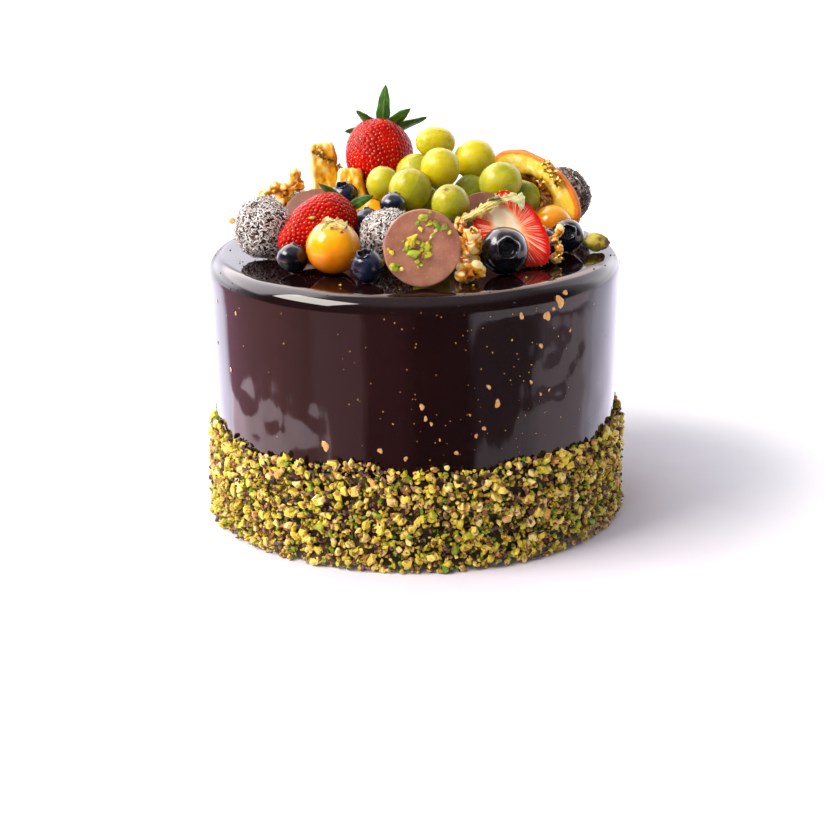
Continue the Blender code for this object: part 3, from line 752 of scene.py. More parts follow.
def bandPlaces(count, dice, low, spill):
    # even but jittered places over the band, as angle and height
    angle = (np.arange(count) * goldenShare % 1.0) * fullTurn + dice.normal(0, 0.02, count)
    share = (np.arange(count) + dice.random(count)) / count
    dice.shuffle(share)
    height = low + (bandEdge(angle) + spill - low) * share
    return angle, height


def makeBand():
    dice = np.random.default_rng(band["seed"])
    # fine crumb showing between the larger ones, painted near black as painted shade in the gaps
    top = band["height"] - 3
    profile = [(0, top), (80, top)] + [(band["core"], h) for h in np.linspace(top, 0.8, 14)]
    verts, faces = lathe(profile + [(84, 0.5), (0, 0.5)], 220)[:2]
    normals = outward(verts, faces)
    verts += normals * (ripples(verts, 6.0, 31) * 0.5)[:, None] * (verts[:, 2:3] > 1)
    makePiece("bandCore", verts, faces, [groundNutAndGapShade], (),
              {"tone": 0.5 + 0.4 * ripples(verts, 5.0, 32)})

    def place(count, sizes, outs, low, spill, tones, loose=0.3):
        # a share of the crumbs lies loose, the rest against the wall
        placed = []
        small, large = sizes
        angles, heights = bandPlaces(count, dice, low, spill)
        for number in range(count):
            if dice.random() < 0.7:
                size = dice.uniform(small, large)
            else:
                size = small + (large - small) * dice.random() ** 2
            angle, height = angles[number], max(heights[number], size * 0.34)
            reach = dice.uniform(*outs)
            if height > bandEdge(angle) - band["thinEdge"][0]:
                reach -= band["thinEdge"][1]
            if height < band["fullFoot"][0]:
                reach += band["fullFoot"][1]
            out = np.array([math.cos(angle), math.sin(angle), 0.0])
            stretch = size * np.array([1.05, 0.95, 0.9]) * dice.uniform(0.85, 1.15, 3)
            if dice.random() > loose:
                turn = tangentTurn(out, dice, stretch, 1.2)
            else:
                turn = randomTurn(dice, stretch)
            shape = dice.integers(0, band["shapes"])
            placed.append((shape, out * reach + (0, 0, height), turn, tones(height)))
        return placed

    kernels = place(*band["kernels"], lambda h: randomTone(dice, 0.42, 0.29))
    shapes = chippedShapes(band["shapes"], 11, 3)
    scatterPiece("pistachioKernels", shapes, kernels, [pistachioKernel])
    chunks = place(*band["chunks"], lambda h: randomTone(dice, 0.46 + 0.004 * h, 0.24))
    shapes = chippedShapes(band["shapes"], 18, 4, 0.8)
    scatterPiece("pistachioChunks", shapes, chunks, [pistachioChunk])
    skins = place(*band["skins"], lambda h: dice.random(), 0.5)
    scatterPiece("pistachioSkins", chippedShapes(12, 10, 6, 0.45), skins, [pistachioSkin])


makeBand()
print("nut band is pressed on")


# gold splashes

gold = {
    # (angle in degrees, height, length) of the splashes on the wall
    "splashes": (
        (-49.0, 108.3, 4.6), (-53.4, 103.4, 3.6), (-51.2, 105.9, 1.6), (-61.5, 105.3, 2.3),
        (-55.2, 91.4, 2.0), (-70.6, 77.3, 1.8), (-68.1, 69.8, 2.8), (-88.3, 70.7, 2.2),
        (-87.4, 65.6, 1.7), (-85.9, 63.4, 1.4), (-71.8, 59.9, 1.7), (-74.0, 57.0, 1.6),
        (-58.1, 76.7, 1.5), (-54.9, 70.7, 1.3), (-52.0, 71.6, 1.2), (-79.3, 50.4, 1.7),
        (-92.7, 48.6, 1.7), (-99.4, 51.8, 2.1), (-114.6, 51.9, 3.6), (-46.6, 111.2, 2.4),
        (-44.7, 95.0, 1.3), (-64.2, 95.9, 0.8), (-75.7, 66.2, 0.9), (-83.7, 56.4, 1.0)),
    "grow": 1.2,  # the drops have thin borders that the eye adds
    "mist": 150,  # pinprick droplets
    "mistAngle": (-68, 24),  # middle and spread, where two in three of them fell
    "mistHeight": (46, 110),
    "mistSize": (0.22, 0.6),
    "behind": 16,  # larger drops on the unseen side
    "color": "#e0ab68",
    "seed": 8,
}


def goldMaterial():
    # edible gold lustre, flicked on wet: soft metal sheen, a little grainy
    mat, add = newMaterial("edibleGoldLustre", {"Metallic": 0.35, "Roughness": 0.40})
    grain = add("TexNoise", {"pitch": 0.5, "Detail": 3.0})
    tone = add("ValToRGB", {"Fac": grain, "stops": (
        (0.35, "#c88d48"), (0.55, gold["color"]), (0.75, "#f8d9a0"))})
    return finish(mat, tone, (grain, 0.3, 0.0002))


edibleGold = goldMaterial()


def makeSplashes():
    dice = np.random.default_rng(gold["seed"])
    drop, dropFaces = lathe([(0, 0.16), (0.28, 0.14), (0.44, 0.07), (0.5, 0.0), (0, -0.12)], 10)[:2]
    shapes = []
    angle = np.arctan2(drop[:, 1], drop[:, 0])
    for number in range(6):
        bent = drop.copy()
        uneven = 1 + 0.22 * np.sin(2 * angle + number) + 0.16 * np.sin(3 * angle + 2 * number)
        bent[:, :2] *= uneven[:, None]
        shapes.append((bent, dropFaces))
    spots = [(math.radians(a), h, s, True) for a, h, s in gold["splashes"]]
    for number in range(gold["mist"]):
        if number % 3:
            angle = math.radians(dice.normal(*gold["mistAngle"]))
        else:
            angle = dice.uniform(0, fullTurn)
        spots.append((angle, dice.uniform(*gold["mistHeight"]), dice.uniform(*gold["mistSize"]), False))
    for number in range(gold["behind"]):
        angle = math.radians(dice.uniform(10, 220))
        spots.append((angle, dice.uniform(48, 104), dice.uniform(1.0, 2.4), True))
    placed = []
    for angle, height, size, isDrop in spots:
        size *= gold["grow"] if isDrop else 1.0
        out = np.array([math.cos(angle), math.sin(angle), 0.02])
        tilt = dice.normal(0, 0.5)
        side = np.array([-math.sin(angle), math.cos(angle), 0])
        along = unit(np.array([0, 0, 1.0]) + side * math.tan(tilt) * 0.6)
        across = np.cross(along, unit(out))
        wide = size * (0.8 if isDrop else 0.9)
        turn = np.stack([across * wide, along * size, unit(out) * min(1.2, size) * 0.9], 1)
        radius = float(wallRadius(height)) + 0.04
        centre = np.array([radius * math.cos(angle), radius * math.sin(angle), height])
        placed.append((dice.integers(0, len(shapes)), centre, turn, dice.random()))
    scatterPiece("goldSplashes", shapes, placed, [edibleGold], True)


makeSplashes()
print("gold is splashed")


# white grapes

grapes = {
    "steps": 44,
    "rows": 30,
    "dimple": (0.07, 0.22),  # at the stem: depth in radii, reach in radians
    "bunch": {
        # node: (centre, radius, stem end, stretch, ripeness 0 green to 1 yellow, russet)
        "grape_01": ((-13.1, 6.5, 143.4), 7.2, (0.2, 0.1, 1.0), 1.04, 0.75, 0.30),
        "grape_02": ((-1.3, -5.5, 143.0), 9.2, (0.5, 0.2, 1.0), 1.03, 0.62, 0.52),
        "grape_03": ((1.0, 18.5, 145.8), 8.2, (1.0, 0.2, 0.3), 1.03, 0.70, 0.35),
        "grape_04": ((11.9, 4.5, 150.2), 8.6, (0.3, 0.3, 1.0), 1.04, 0.85, 0.42),
        "grape_05": ((10.2, 24.0, 158.0), 7.0, (1.0, 0.3, -0.1), 1.30, 0.88, 0.60),
        "grape_06": ((27.4, 23.4, 150.4), 8.8, (1.0, 0.2, 0.25), 1.07, 0.95, 0.12),
        "grape_07": ((15.7, -25.0, 140.4), 8.1, (-0.2, -0.5, 0.85), 1.04, 0.50, 0.44),
        # grape_08 and grape_10 lie in shade; their low ripeness paints them darker and greener, partly
        # their own tone and partly painted shade
        "grape_08": ((25.0, 12.2, 137.8), 7.6, (0.2, 0.6, 1.0), 1.04, 0.35, 0.0),
        "grape_09": ((37.9, 2.0, 144.2), 8.7, (1.0, 0.3, 0.2), 1.08, 0.55, 0.20),
        "grape_10": ((48.0, 12.2, 134.8), 7.7, (0.4, 0.2, 1.0), 1.08, 0.30, 0.0),
        "grape_11": ((7.4, -46.8, 124.6), 8.2, (0.0, 0.3, 1.0), 1.04, 0.5, 0.1),
        "grape_12": ((8.0, -21.2, 125.2), 9.0, (1.0, 0.2, 0.0), 1.04, 0.5, 0.1),
        "grape_13": ((27.8, -0.6, 125.4), 9.4, (0.4, 1.0, 0.0), 1.04, 0.4, 0.0),
        "grape_14": ((9.0, -2.4, 125.0), 8.8, (1.0, 0.2, 0.1), 1.04, 0.6, 0.0),
        "grape_15": ((-4.5, 19.0, 125.1), 9.0, (0.6, 1.0, 0.1), 1.04, 0.5, 0.2),
        "grape_16": ((16.0, 18.4, 124.1), 8.0, (0.3, 1.0, 0.0), 1.0, 0.5, 0.0),
        "grape_17": ((36.0, 16.0, 124.0), 7.8, (1.0, 0.3, 0.0), 1.02, 0.4, 0.0),
        "grape_18": ((12.6, 38.0, 142.9), 8.0, (0.2, 0.4, 1.0), 1.06, 0.8, 0.3),
        "grape_19": ((4.2, 8.0, 135.4), 7.0, (0.2, 0.4, 1.0), 1.0, 0.5, 0.0),
    },
}


def grapeMaterial():
    # ripe white grape skin, unwaxed: clear jelly under a thin skin, so light passes deep in;
    # a thin dusty bloom, fine pale veins and brown freckles near the stem
    mat, add = newMaterial("whiteGrapeSkin", {
        "IOR": 1.38, "Subsurface": (0.75, (1.0, 0.88, 0.08), 0.008),
        "Coat Weight": 0.06, "Coat Roughness": 0.08})
    ripe = add("Attribute ripe", {}, "Fac")
    russet = add("Attribute russet", {}, "Fac")
    pole = add("Attribute pole", {}, "Fac")
    spin = add("Attribute spin", {}, "Fac")
    cloud = add("TexNoise", {"pitch": 9, "Detail": 3.0})
    shift = add("MapRange", (cloud, 0.3, 0.7, -0.20, 0.20))
    hue = add("Math ADD", {"use_clamp": True, 0: ripe, 1: shift})
    skin = add("ValToRGB", {"Fac": hue, "stops": (
        (0.0, "#6a7a0a"), (0.35, "#919c0c"), (0.7, "#bdb60e"), (1.0, "#d4c210"))})
    around = add("CombineXYZ", {"X": spin, "Y": pole})
    stretch = add("VectorMath MULTIPLY", (around, (5.0, 1.6, 1.0)))
    vein = add("TexNoise", {"Vector": stretch, "Scale": 1.0, "Detail": 4.0, "Roughness": 0.65})
    veinFade = add("MapRange", (vein, 0.54, 0.72, 0.0, 0.42))
    veined = add("Mix", {"Factor": veinFade, "A": skin, "B": "#dfd27a"})
    freckle = add("TexNoise", {"pitch": 0.8, "Detail": 2.0, "Roughness": 0.6})
    fleck = add("MapRange", (freckle, 0.54, 0.64, 0.25, 1.0))
    patchy = add("TexNoise", {"pitch": 6, "Detail": 2.0})
    near = add("MapRange", (pole, 0.50, 0.02, 0.0, 0.5))
    dense = add("Math MULTIPLY_ADD", (patchy, 0.55, near))
    dots = add("Math MULTIPLY", (dense, fleck))
    amount = add("Math MULTIPLY", (dots, russet))
    spots = add("MapRange", (amount, 0.06, 0.34, 0.0, 0.85))
    russeted = add("Mix", {"Factor": spots, "A": veined, "B": "#ac7038"})
    scar = add("MapRange", (pole, 0.052, 0.030, 0.0, 0.8))
    scarred = add("Mix", {"Factor": scar, "A": russeted, "B": "#6e4c22"})
    bloom = add("TexNoise", {"pitch": 5, "Detail": 5.0, "Roughness": 0.6})
    dusty = add("MapRange", (bloom, 0.44, 0.74, 0.0, 0.20))
    bloomed = add("Mix", {"Factor": dusty, "A": scarred, "B": "#d8d3a6"})
    gloss = add("MapRange", (bloom, 0.35, 0.7, 0.20, 0.40))
    return finish(mat, bloomed, (freckle, 0.06, 0.0002), gloss)


whiteGrapeSkin = grapeMaterial()


def makeGrapes():
    depth, reach = grapes["dimple"]
    turns = np.linspace(0, math.pi, grapes["rows"])
    for number, (node, (centre, radius, axis, stretch, ripe, russet)) in enumerate(grapes["bunch"].items()):
        profile = ballProfile(grapes["rows"])
        profile[:, 1] -= depth * np.exp(-(turns / reach) ** 2)
        verts, faces, rows, around = lathe(profile * radius, grapes["steps"])
        verts[:, 2] *= stretch
        verts *= (1 + 0.012 * ripples(verts, radius * 1.7, 50 + number))[:, None]
        verts = verts @ turnTo(axis, 37.0 * number).T + centre
        count = len(verts)
        makePiece("whiteGrape" + node[-2:], verts, faces, [whiteGrapeSkin], (node,),
                  {"ripe": np.full(count, ripe), "russet": np.full(count, russet), "pole": rows,
                   "spin": around + number * 3.0})


makeGrapes()
print("grapes are heaped")


# blue berries

blueBerries = {
    "steps": 40,
    "rows": 56,
    "profile": ((0.0, 0.66), (0.04, 0.665), (0.07, 0.62), (0.11, 0.59), (0.17, 0.60), (0.20, 0.635),
                (0.23, 0.60), (0.29, 0.63), (0.35, 0.80), (0.40, 0.93), (0.445, 0.94), (0.475, 0.87),
                (0.50, 0.81), (0.58, 0.765), (0.70, 0.665), (0.84, 0.50), (0.94, 0.29), (1.0, 0.04),
                (0.97, -0.22), (0.86, -0.49), (0.67, -0.70), (0.44, -0.82), (0.2, -0.875), (0.0, -0.88)),
    "lobes": 5,
    "fruit": {
        # node: (centre, radius, crown direction, bloom 0 to 1)
        "blue_berry_01": ((-50.4, -46.0, 122.4), 6.6, (0.45, 0.25, 0.85), 0.26),
        "blue_berry_02": ((-19.0, -63.0, 122.8), 7.1, (-0.15, -0.35, 0.92), 0.34),
        "blue_berry_03": ((37.4, -50.8, 125.8), 10.0, (0.10, -0.93, 0.30), 0.24),
        "blue_berry_04": ((66.1, -11.2, 123.3), 7.2, (0.0, -0.90, 0.40), 0.30),
        "blue_berry_05": ((55.6, -19.4, 122.2), 6.4, (0.5, 0.3, 0.80), 0.3),
        "blue_berry_06": ((-29.8, 6.6, 138.4), 5.8, (-0.2, -0.3, 0.9), 0.3),
        "blue_berry_07": ((-8.5, -19.2, 138.7), 5.7, (0.1, 0.5, 0.85), 0.3),
        "blue_berry_08": ((-20.0, -8.4, 130.2), 5.7, (-0.3, 0.2, 0.9), 0.7),
        "blue_berry_09": ((-17.4, -15.6, 122.0), 6.2, (0.2, 0.4, 0.9), 0.3),
        "blue_berry_10": ((50.8, 51.5, 122.2), 6.2, (0.35, 0.80, 0.45), 0.5),
        "blue_berry_11": ((20.5, 63.0, 122.9), 7.0, (0.2, 0.85, 0.40), 0.4),
    },
}


def blueBerryMaterial():
    # fresh blueberry skin: nearly black blue, mostly rubbed of its pale wax bloom, so sharp
    # gloss and chalky patches lie side by side
    mat, add = newMaterial("blueBerrySkin", {
        "IOR": 1.48, "Coat Weight": 0.5, "Coat Roughness": 0.10})
    waxed = add("Attribute bloom", {}, "Fac")
    crown = add("Attribute crown", {}, "Fac")
    cloud = add("TexNoise", {"pitch": 6, "Detail": 5.0, "Roughness": 0.6,
                             "Distortion": 0.6})
    lift = add("Math ADD", (cloud, waxed))
    cover = add("MapRange", (lift, 0.72, 1.5, 0.0, 0.8))
    skin = add("ValToRGB", {"Fac": cover, "stops": ((0.0, "#05070f"), (0.3, "#0e2040"), (1.0, "#4a6692"))})
    rimmed = add("Mix", {"Factor": crown, "A": skin, "B": "#0b090d"})
    gloss = add("MapRange", (cover, 0.0, 0.7, 0.20, 0.50))
    pits = add("TexNoise", {"pitch": 0.6, "Detail": 2.0})
    return finish(mat, rimmed, (pits, 0.10, 0.0002), gloss)


blueBerrySkin = blueBerryMaterial()


def makeBlueBerries():
    profile = smoothLine(blueBerries["profile"], blueBerries["rows"])
    for number, (node, (centre, radius, axis, bloom)) in enumerate(blueBerries["fruit"].items()):
        verts, faces, _, around = lathe(profile * radius, blueBerries["steps"])
        reach = np.hypot(verts[:, 0], verts[:, 1]) / radius
        # the crown's lip is lobed, and dark inside
        lip = np.exp(-((reach - 0.43) / 0.09) ** 2) * (verts[:, 2] > 0.6 * radius)
        lobe = np.cos(blueBerries["lobes"] * around + number)
        verts[:, 2] += lip * (0.038 * lobe + 0.03 * np.cos(2 * around + number)) * radius
        verts[:, :2] *= (1 + 0.05 * lip * lobe)[:, None]
        verts *= (1 + 0.018 * ripples(verts, radius * 1.6, 80 + number))[:, None]
        inside = np.clip((0.44 - reach) / 0.08, 0, 1) * (verts[:, 2] > 0) * 0.75
        verts = verts @ turnTo(axis, 23.0 * number).T + centre
        makePiece("blueBerry" + node[-2:], verts, faces, [blueBerrySkin], (node,),
                  {"bloom": np.full(len(verts), bloom), "crown": inside})


makeBlueBerries()
print("blue berries are set")


# physalis

physalisFruit = {
    "profile": ((0.0, 0.955), (0.12, 0.955), (0.24, 0.96), (0.36, 0.91), (0.56, 0.80), (0.76, 0.62),
                (0.93, 0.34), (1.0, 0.04), (0.96, -0.25), (0.84, -0.54), (0.66, -0.75), (0.44, -0.89),
                (0.2, -0.97), (0.0, -0.98)),
    "rows": 34,
    "steps": 48,
    "calyx": (7, 36, 0.3),  # rings, spokes, thickness
    "fruit": {
        # node: (centre, radius, stem direction, scar size)
        "physalis_front": ((-33.3, -49.0, 127.8), 11.4, (0.06, -0.22, 0.97), 1.0),
        "physalis_right": ((60.8, 3.8, 124.9), 8.8, (0.25, 0.45, 0.85), 0.0),
        "physalis_middle": ((-17.8, 5.6, 128.6), 8.2, (-0.25, 0.10, 0.95), 0.0),
        "physalis_back": ((35.5, 50.5, 125.1), 9.0, (0.20, 0.35, 0.92), 0.8),
    },
}


def physalisMaterial():
    # ripe physalis skin, naturally waxy: glossy, deep yellow orange, light glowing through; painted light
    # and shade make it paler towards the stem on top and darker towards the bottom
    mat, add = newMaterial("physalisSkin", {
        "Roughness": 0.16, "IOR": 1.46, "Subsurface": (0.4, (1.0, 0.42, 0.05), 0.004),
        "Coat Weight": 0.35, "Coat Roughness": 0.04})
    pole = add("Attribute pole", {}, "Fac")
    cloud = add("TexNoise", {"pitch": 8, "Detail": 4.0})
    shift = add("Math MULTIPLY_ADD", (cloud, 0.5, -0.25))
    blend = add("Math ADD", {"use_clamp": True, 0: pole, 1: shift})
    # painted light and shade: yellow at the top pole, dark orange brown at the bottom
    skin = add("ValToRGB", {"Fac": blend, "stops": (
        (0.0, "#fbc42c"), (0.25, "#f8aa0c"), (0.6, "#e27c02"), (1.0, "#a84204"))})
    pores = add("TexNoise", {"pitch": 0.8, "Detail": 2.0})
    return finish(mat, skin, (pores, 0.05, 0.0002))


def dryMaterial(name, stops, through, tip):
    # dried calyx or husk, air dried: thin, papery, ribbed, letting light through
    mat, add = newMaterial(name, {
        "Roughness": 0.6, "IOR": 1.4, "Subsurface": (through, (1.0, 0.8, 0.35), 0.002)})
    rib = add("Attribute rib", {}, "Fac")
    end = add("Attribute end", {}, "Fac")
    mottle = add("TexNoise", {"pitch": 2.2, "Detail": 5.0, "Roughness": 0.7})
    blend = add("Math MULTIPLY_ADD", (rib, 0.4, mottle))
    tone = add("ValToRGB", {"Fac": blend, "stops": stops})
    green = add("MapRange", (end, 0.6, 0.85, 0.0, 0.75))
    final = add("Mix", {"Factor": green, "A": tone, "B": tip})
    return finish(mat, final, (blend, 0.5, 0.0004))


physalisSkin = physalisMaterial()
dryCalyx = dryMaterial("dryPhysalisCalyx", (
    (0.30, "#4c3718"), (0.48, "#8c6c30"), (0.64, "#bb9b50"), (0.85, "#e2ce8e")), 0.15, "#b89a50")


def makePhysalis():
    scars = []
    profile = smoothLine(physalisFruit["profile"], physalisFruit["rows"])
    for number, (node, (centre, radius, axis, scar)) in enumerate(physalisFruit["fruit"].items()):
        verts, faces, rows = lathe(profile * radius, physalisFruit["steps"])[:3]
        verts *= (1 + 0.012 * ripples(verts, radius * 1.8, 120 + number))[:, None]
        turn = turnTo(axis, 51.0 * number)
        makePiece("physalis" + node.split("_")[1].capitalize(), verts @ turn.T + centre, faces,
                  [physalisSkin], (node,), {"pole": rows})
        if scar:
            scars.append((np.array(centre), radius, turn, scar, number))
    # torn dry calyx left round the stem: a ragged crumpled ring
    verts, faces, ribs = [], [], []
    rings, spokes, thick = physalisFruit["calyx"]
    for centre, radius, turn, scar, number in scars:
        dice = np.random.default_rng(200 + number)
        ragged = 0.36 + 0.22 * dice.random(spokes) ** 2
        grid = np.zeros((rings, spokes, 3))
        for ring in range(rings):
            share = ring / (rings - 1)
            for spoke in range(spokes):
                angle = fullTurn * spoke / spokes
                reach = radius * (0.06 + (ragged[spoke] - 0.06) * share) * (0.9 + 0.2 * scar)
                height = radius * 0.99 - reach * reach / (2 * radius) * 0.9
                height += 0.9 * math.sin(7 * angle + number) * share + 0.7 * dice.normal() * share
                height = max(height, math.sqrt(max(0.0, radius ** 2 - reach ** 2)) * 0.975 + 0.15)
                grid[ring, spoke] = (reach * math.cos(angle), reach * math.sin(angle), height)
        both, more = sheet(grid, (0, 0, -thick), True)
        start = sum(len(v) for v in verts)
        faces += [tuple(start + i for i in f) for f in more]
        ribs += list(0.5 + 0.5 * np.cos(9 * np.arctan2(both[:, 1], both[:, 0])))
        verts.append(both @ turn.T + centre)
    makePiece("physalisCalyxScars", np.vstack(verts), faces, [dryCalyx], (),
              {"rib": ribs})


makePhysalis()
print("physalis are placed")


# strawberries

strawberries = {
    "profile": ((0.0, 0.93), (0.16, 0.95), (0.45, 0.985), (0.70, 0.96), (0.88, 0.87), (1.0, 0.72),
                (0.975, 0.53), (0.83, 0.33), (0.58, 0.15), (0.30, 0.045), (0.12, 0.008), (0.0, 0.0)),
    "steps": 208,
    "rows": 112,
    "seedGap": 2.15,  # between neighbouring seeds
    "dimple": 0.44,  # depth of a seed's pit
    "dimpleReach": 0.58,
    "ridge": 0.26,  # the skin swells between the pits
    "wave": (0.30, 13.0),  # height and pitch of the fruit's own unevenness
    "seedSize": (0.70, 0.65, 1.05),  # across, out of the skin, along
    "fruit": {
        # node: (centre, radius, length, calyx direction, piece name)
        "strawberry_top": ((-15.6, 32.6, 148.8), 14.8, 33.0, (0.10, 0.79, 0.60), "strawberryTop"),
        "strawberry_left": ((-41.8, -25.2, 130.0), 11.8, 38.0, (0.697, 0.658, 0.293), "strawberryLeft"),
        "strawberry_back": ((-27.5, 55.4, 129.0), 12.8, 34.0, (0.50, -0.80, 0.15), "strawberryBack"),
    },
}


def strawberryMaterial():
    # ripe strawberry skin, fresh and moist: saturated red with a wet gloss, painted shade
    # darkening the seed pits, paler towards the calyx
    mat, add = newMaterial("strawberrySkin", {
        "Roughness": 0.13, "IOR": 1.38, "Specular IOR Level": 0.12,
        "Subsurface": (0.12, (1.0, 0.15, 0.08), 0.002)})
    pit = add("Attribute pit", {}, "Fac")
    along = add("Attribute along", {}, "Fac")
    cloud = add("TexNoise", {"pitch": 11, "Detail": 4.0})
    skin = add("ValToRGB", {"Fac": cloud, "stops": ((0.3, "#8e0202"), (0.55, "#b20602"), (0.8, "#cc1605"))})
    pale = add("MapRange", (along, 0.12, 0.0, 0.0, 0.4))
    shoulder = add("Mix", {"Factor": pale, "A": skin, "B": "#e28a70"})
    # painted shade: the seed pits are painted darker red
    pitted = add("MapRange", (pit, 0.2, 1.0, 0.0, 0.7))
    final = add("Mix", {"Factor": pitted, "A": shoulder, "B": "#7a0604"})
    fine = add("TexNoise", {"pitch": 1.2, "Detail": 2.0})
    return finish(mat, final, (fine, 0.12, 0.0003))


def seedMaterial():
    # strawberry seeds, dry and hard: straw yellow to russet with a small glint
    mat, add = newMaterial("strawberrySeed", {"Roughness": 0.35, "IOR": 1.47})
    tone = add("Attribute tone", {}, "Fac")
    ramp = add("ValToRGB", {"Fac": tone, "stops": (
        (0.0, "#a04020"), (0.35, "#bd6c30"), (0.7, "#d3a058"), (1.0, "#e8cf94"))})
    return finish(mat, ramp)


strawberrySkin = strawberryMaterial()
strawberrySeed = seedMaterial()
seedShape = lathe([(0, 0.5), (0.2, 0.42), (0.34, 0.12), (0.32, -0.18), (0.16, -0.44), (0, -0.52)], 6)[:2]


def seedSpots(profile, gap, turnRange=fullTurn):
    # even seed places over a turned form, on a golden spiral: (angle, radius, height, way down)
    steps = np.r_[0, np.cumsum(np.hypot(*np.diff(profile, axis=0).T))]
    area = np.r_[0, np.cumsum((profile[1:, 0] + profile[:-1, 0]) / 2 * np.diff(steps))]
    crown = len(profile) // 4  # the calyx covers the top, so no seeds there
    skip = np.interp(0.42 * profile[:, 0].max(), profile[:crown, 0], area[:crown])
    count = int(turnRange * (area[-1] - skip) / (gap * gap * 0.87))
    wanted = skip + (area[-1] - skip) * (np.arange(count) + 0.5) / count
    at = np.interp(wanted, area, steps)
    radius = np.interp(at, steps, profile[:, 0])
    height = np.interp(at, steps, profile[:, 1])
    ahead = np.stack([np.interp(at + 0.4, steps, profile[:, 0]) - radius,
                      np.interp(at + 0.4, steps, profile[:, 1]) - height], 1)
    angle = (np.arange(count) * goldenShare % 1.0) * turnRange
    return angle, radius, height, ahead / np.maximum(np.linalg.norm(ahead, axis=1), 1e-6)[:, None]


def strawberryProfile(radius, length, rows):
    return smoothLine([(r * radius, (z - 0.5) * length) for r, z in strawberries["profile"]], rows)


def nearestSpot(verts, spots, block=4000):
    # distance from each vertex to the nearest spot, a block of vertices at a time
    nearest = np.empty(len(verts))
    for start in range(0, len(verts), block):
        some = verts[start:start + block]
        nearest[start:start + block] = np.sqrt(((some[:, None, :] - spots[None, :, :]) ** 2).sum(2).min(1))
    return nearest


def makeStrawberries():
    seeds = []
    dimple = strawberries["dimple"]
    waveHeight, wavePitch = strawberries["wave"]
    across, outOf, lengthways = strawberries["seedSize"]
    for number, (node, (centre, radius, length, axis, name)) in enumerate(strawberries["fruit"].items()):
        dice = np.random.default_rng(300 + number)
        profile = strawberryProfile(radius, length, strawberries["rows"])
        verts, faces, rows = lathe(profile, strawberries["steps"])[:3]
        normals = outward(verts, faces)
        angle, reach, height, ahead = seedSpots(profile, strawberries["seedGap"])
        angle = angle + dice.normal(0, 0.03, len(angle))
        spots = np.stack([reach * np.cos(angle), reach * np.sin(angle), height], 1)
        nearest = nearestSpot(verts, spots)
        pit = np.exp(-(nearest / strawberries["dimpleReach"]) ** 2)
        swell = -dimple * pit + strawberries["ridge"] * np.clip(nearest / 1.2, 0, 1)
        swell += waveHeight * ripples(verts, wavePitch, 310 + number)
        verts += normals * swell[:, None]
        turn = turnTo(axis, 71.0 * number)
        makePiece(name, verts @ turn.T + centre, faces, [strawberrySkin], (node,),
                  {"pit": pit, "along": rows})
        for k in range(len(spots)):
            outwards, drop = ahead[k]  # the skin's way down: out from the axis, and up
            cosine, sine = math.cos(angle[k]), math.sin(angle[k])
            out = np.array([-drop * cosine, -drop * sine, outwards])
            if out @ np.array([cosine, sine, 0.01]) < 0 and outwards <= 0:
                out = -out
            down = np.array([outwards * cosine, outwards * sine, drop])
            side = np.cross(unit(down), unit(out))
            size = dice.uniform(0.85, 1.12)
            local = np.stack([side * across, unit(out) * outOf, -unit(down) * lengthways], 1) * size
            bump = waveHeight * float(ripples(spots[k][None, :], wavePitch, 310 + number)[0])
            where = spots[k] + unit(out) * (bump - dimple * 0.62)
            seeds.append((0, where @ turn.T + centre, turn @ local, randomTone(dice, 0.58, 0.22)))
    scatterPiece("strawberrySeeds", [seedShape], seeds, [strawberrySeed], True)


makeStrawberries()
print("strawberries are pitted and seeded")


# cut strawberry

halfBerry = {
    "centre": (42.8, -36.0, 130.0),
    "radius": 12.4,
    "length": 36.0,
    "face": (0.05, -0.93, 0.37),
    "up": (-0.69, 0.28, 0.66),
    "rows": 84,
    "backSteps": 48,
    "faceSteps": 64,
    "hollow": (0.7, 0.2, 0.12, 0.28), # depth in mm, then shares: half width, middle height, half height
    "seedSize": (1.15, 0.85, 1.5),  # across, out of the skin, along
}


def fleshMaterial():
    # fresh cut strawberry: wet, fibrous, red at the rim fading through coral to a pale
    # core, with white fibres running out to the seeds
    mat, add = newMaterial("cutStrawberryFlesh", {
        "Roughness": 0.26, "IOR": 1.36, "Subsurface": (0.25, (1.0, 0.30, 0.18), 0.002),
        "Coat Weight": 0.1, "Coat Roughness": 0.08})
    depth = add("Attribute depth", {}, "Fac")
    ray = add("Attribute ray", {}, "Fac")
    mottle = add("TexNoise", {"pitch": 5, "Detail": 4.0})
    drift = add("Math MULTIPLY_ADD", (mottle, 0.30, -0.15))
    deep = add("Math ADD", {"use_clamp": True, 0: depth, 1: drift})
    flesh = add("ValToRGB", {"Fac": deep, "stops": (
        (0.0, "#bf0b09"), (0.14, "#dc180e"), (0.36, "#ea3216"), (0.56, "#f4622c"), (0.70, "#ffb784"),
        (0.84, "#fff2d6"), (1.0, "#ffe2b8"))})
    along = add("CombineXYZ", {"X": ray, "Y": depth})
    stretch = add("VectorMath MULTIPLY", (along, (5.2, 0.8, 1.0)))
    fibre = add("TexNoise", {"Vector": stretch, "Scale": 1.0, "Detail": 2.5, "Roughness": 0.6})
    white = add("MapRange", (fibre, 0.50, 0.64, 0.0, 1.0))
    window = add("ValToRGB", {"Fac": depth, "stops": ((0.08, 0.0), (0.24, 0.8), (0.5, 0.85), (0.9, 0.3))})
    amount = add("Math MULTIPLY", (white, window))
    final = add("Mix", {"Factor": amount, "A": flesh, "B": "#fce0c2"})
    return finish(mat, final, (fibre, 0.35, 0.0004))


cutStrawberryFlesh = fleshMaterial()


def halfBerryFrame():
    zAxis = unit(halfBerry["up"])
    yAxis = -unit(halfBerry["face"])
    xAxis = unit(np.cross(yAxis, zAxis))
    yAxis = np.cross(zAxis, xAxis)
    return np.stack([xAxis, yAxis, zAxis], 1)


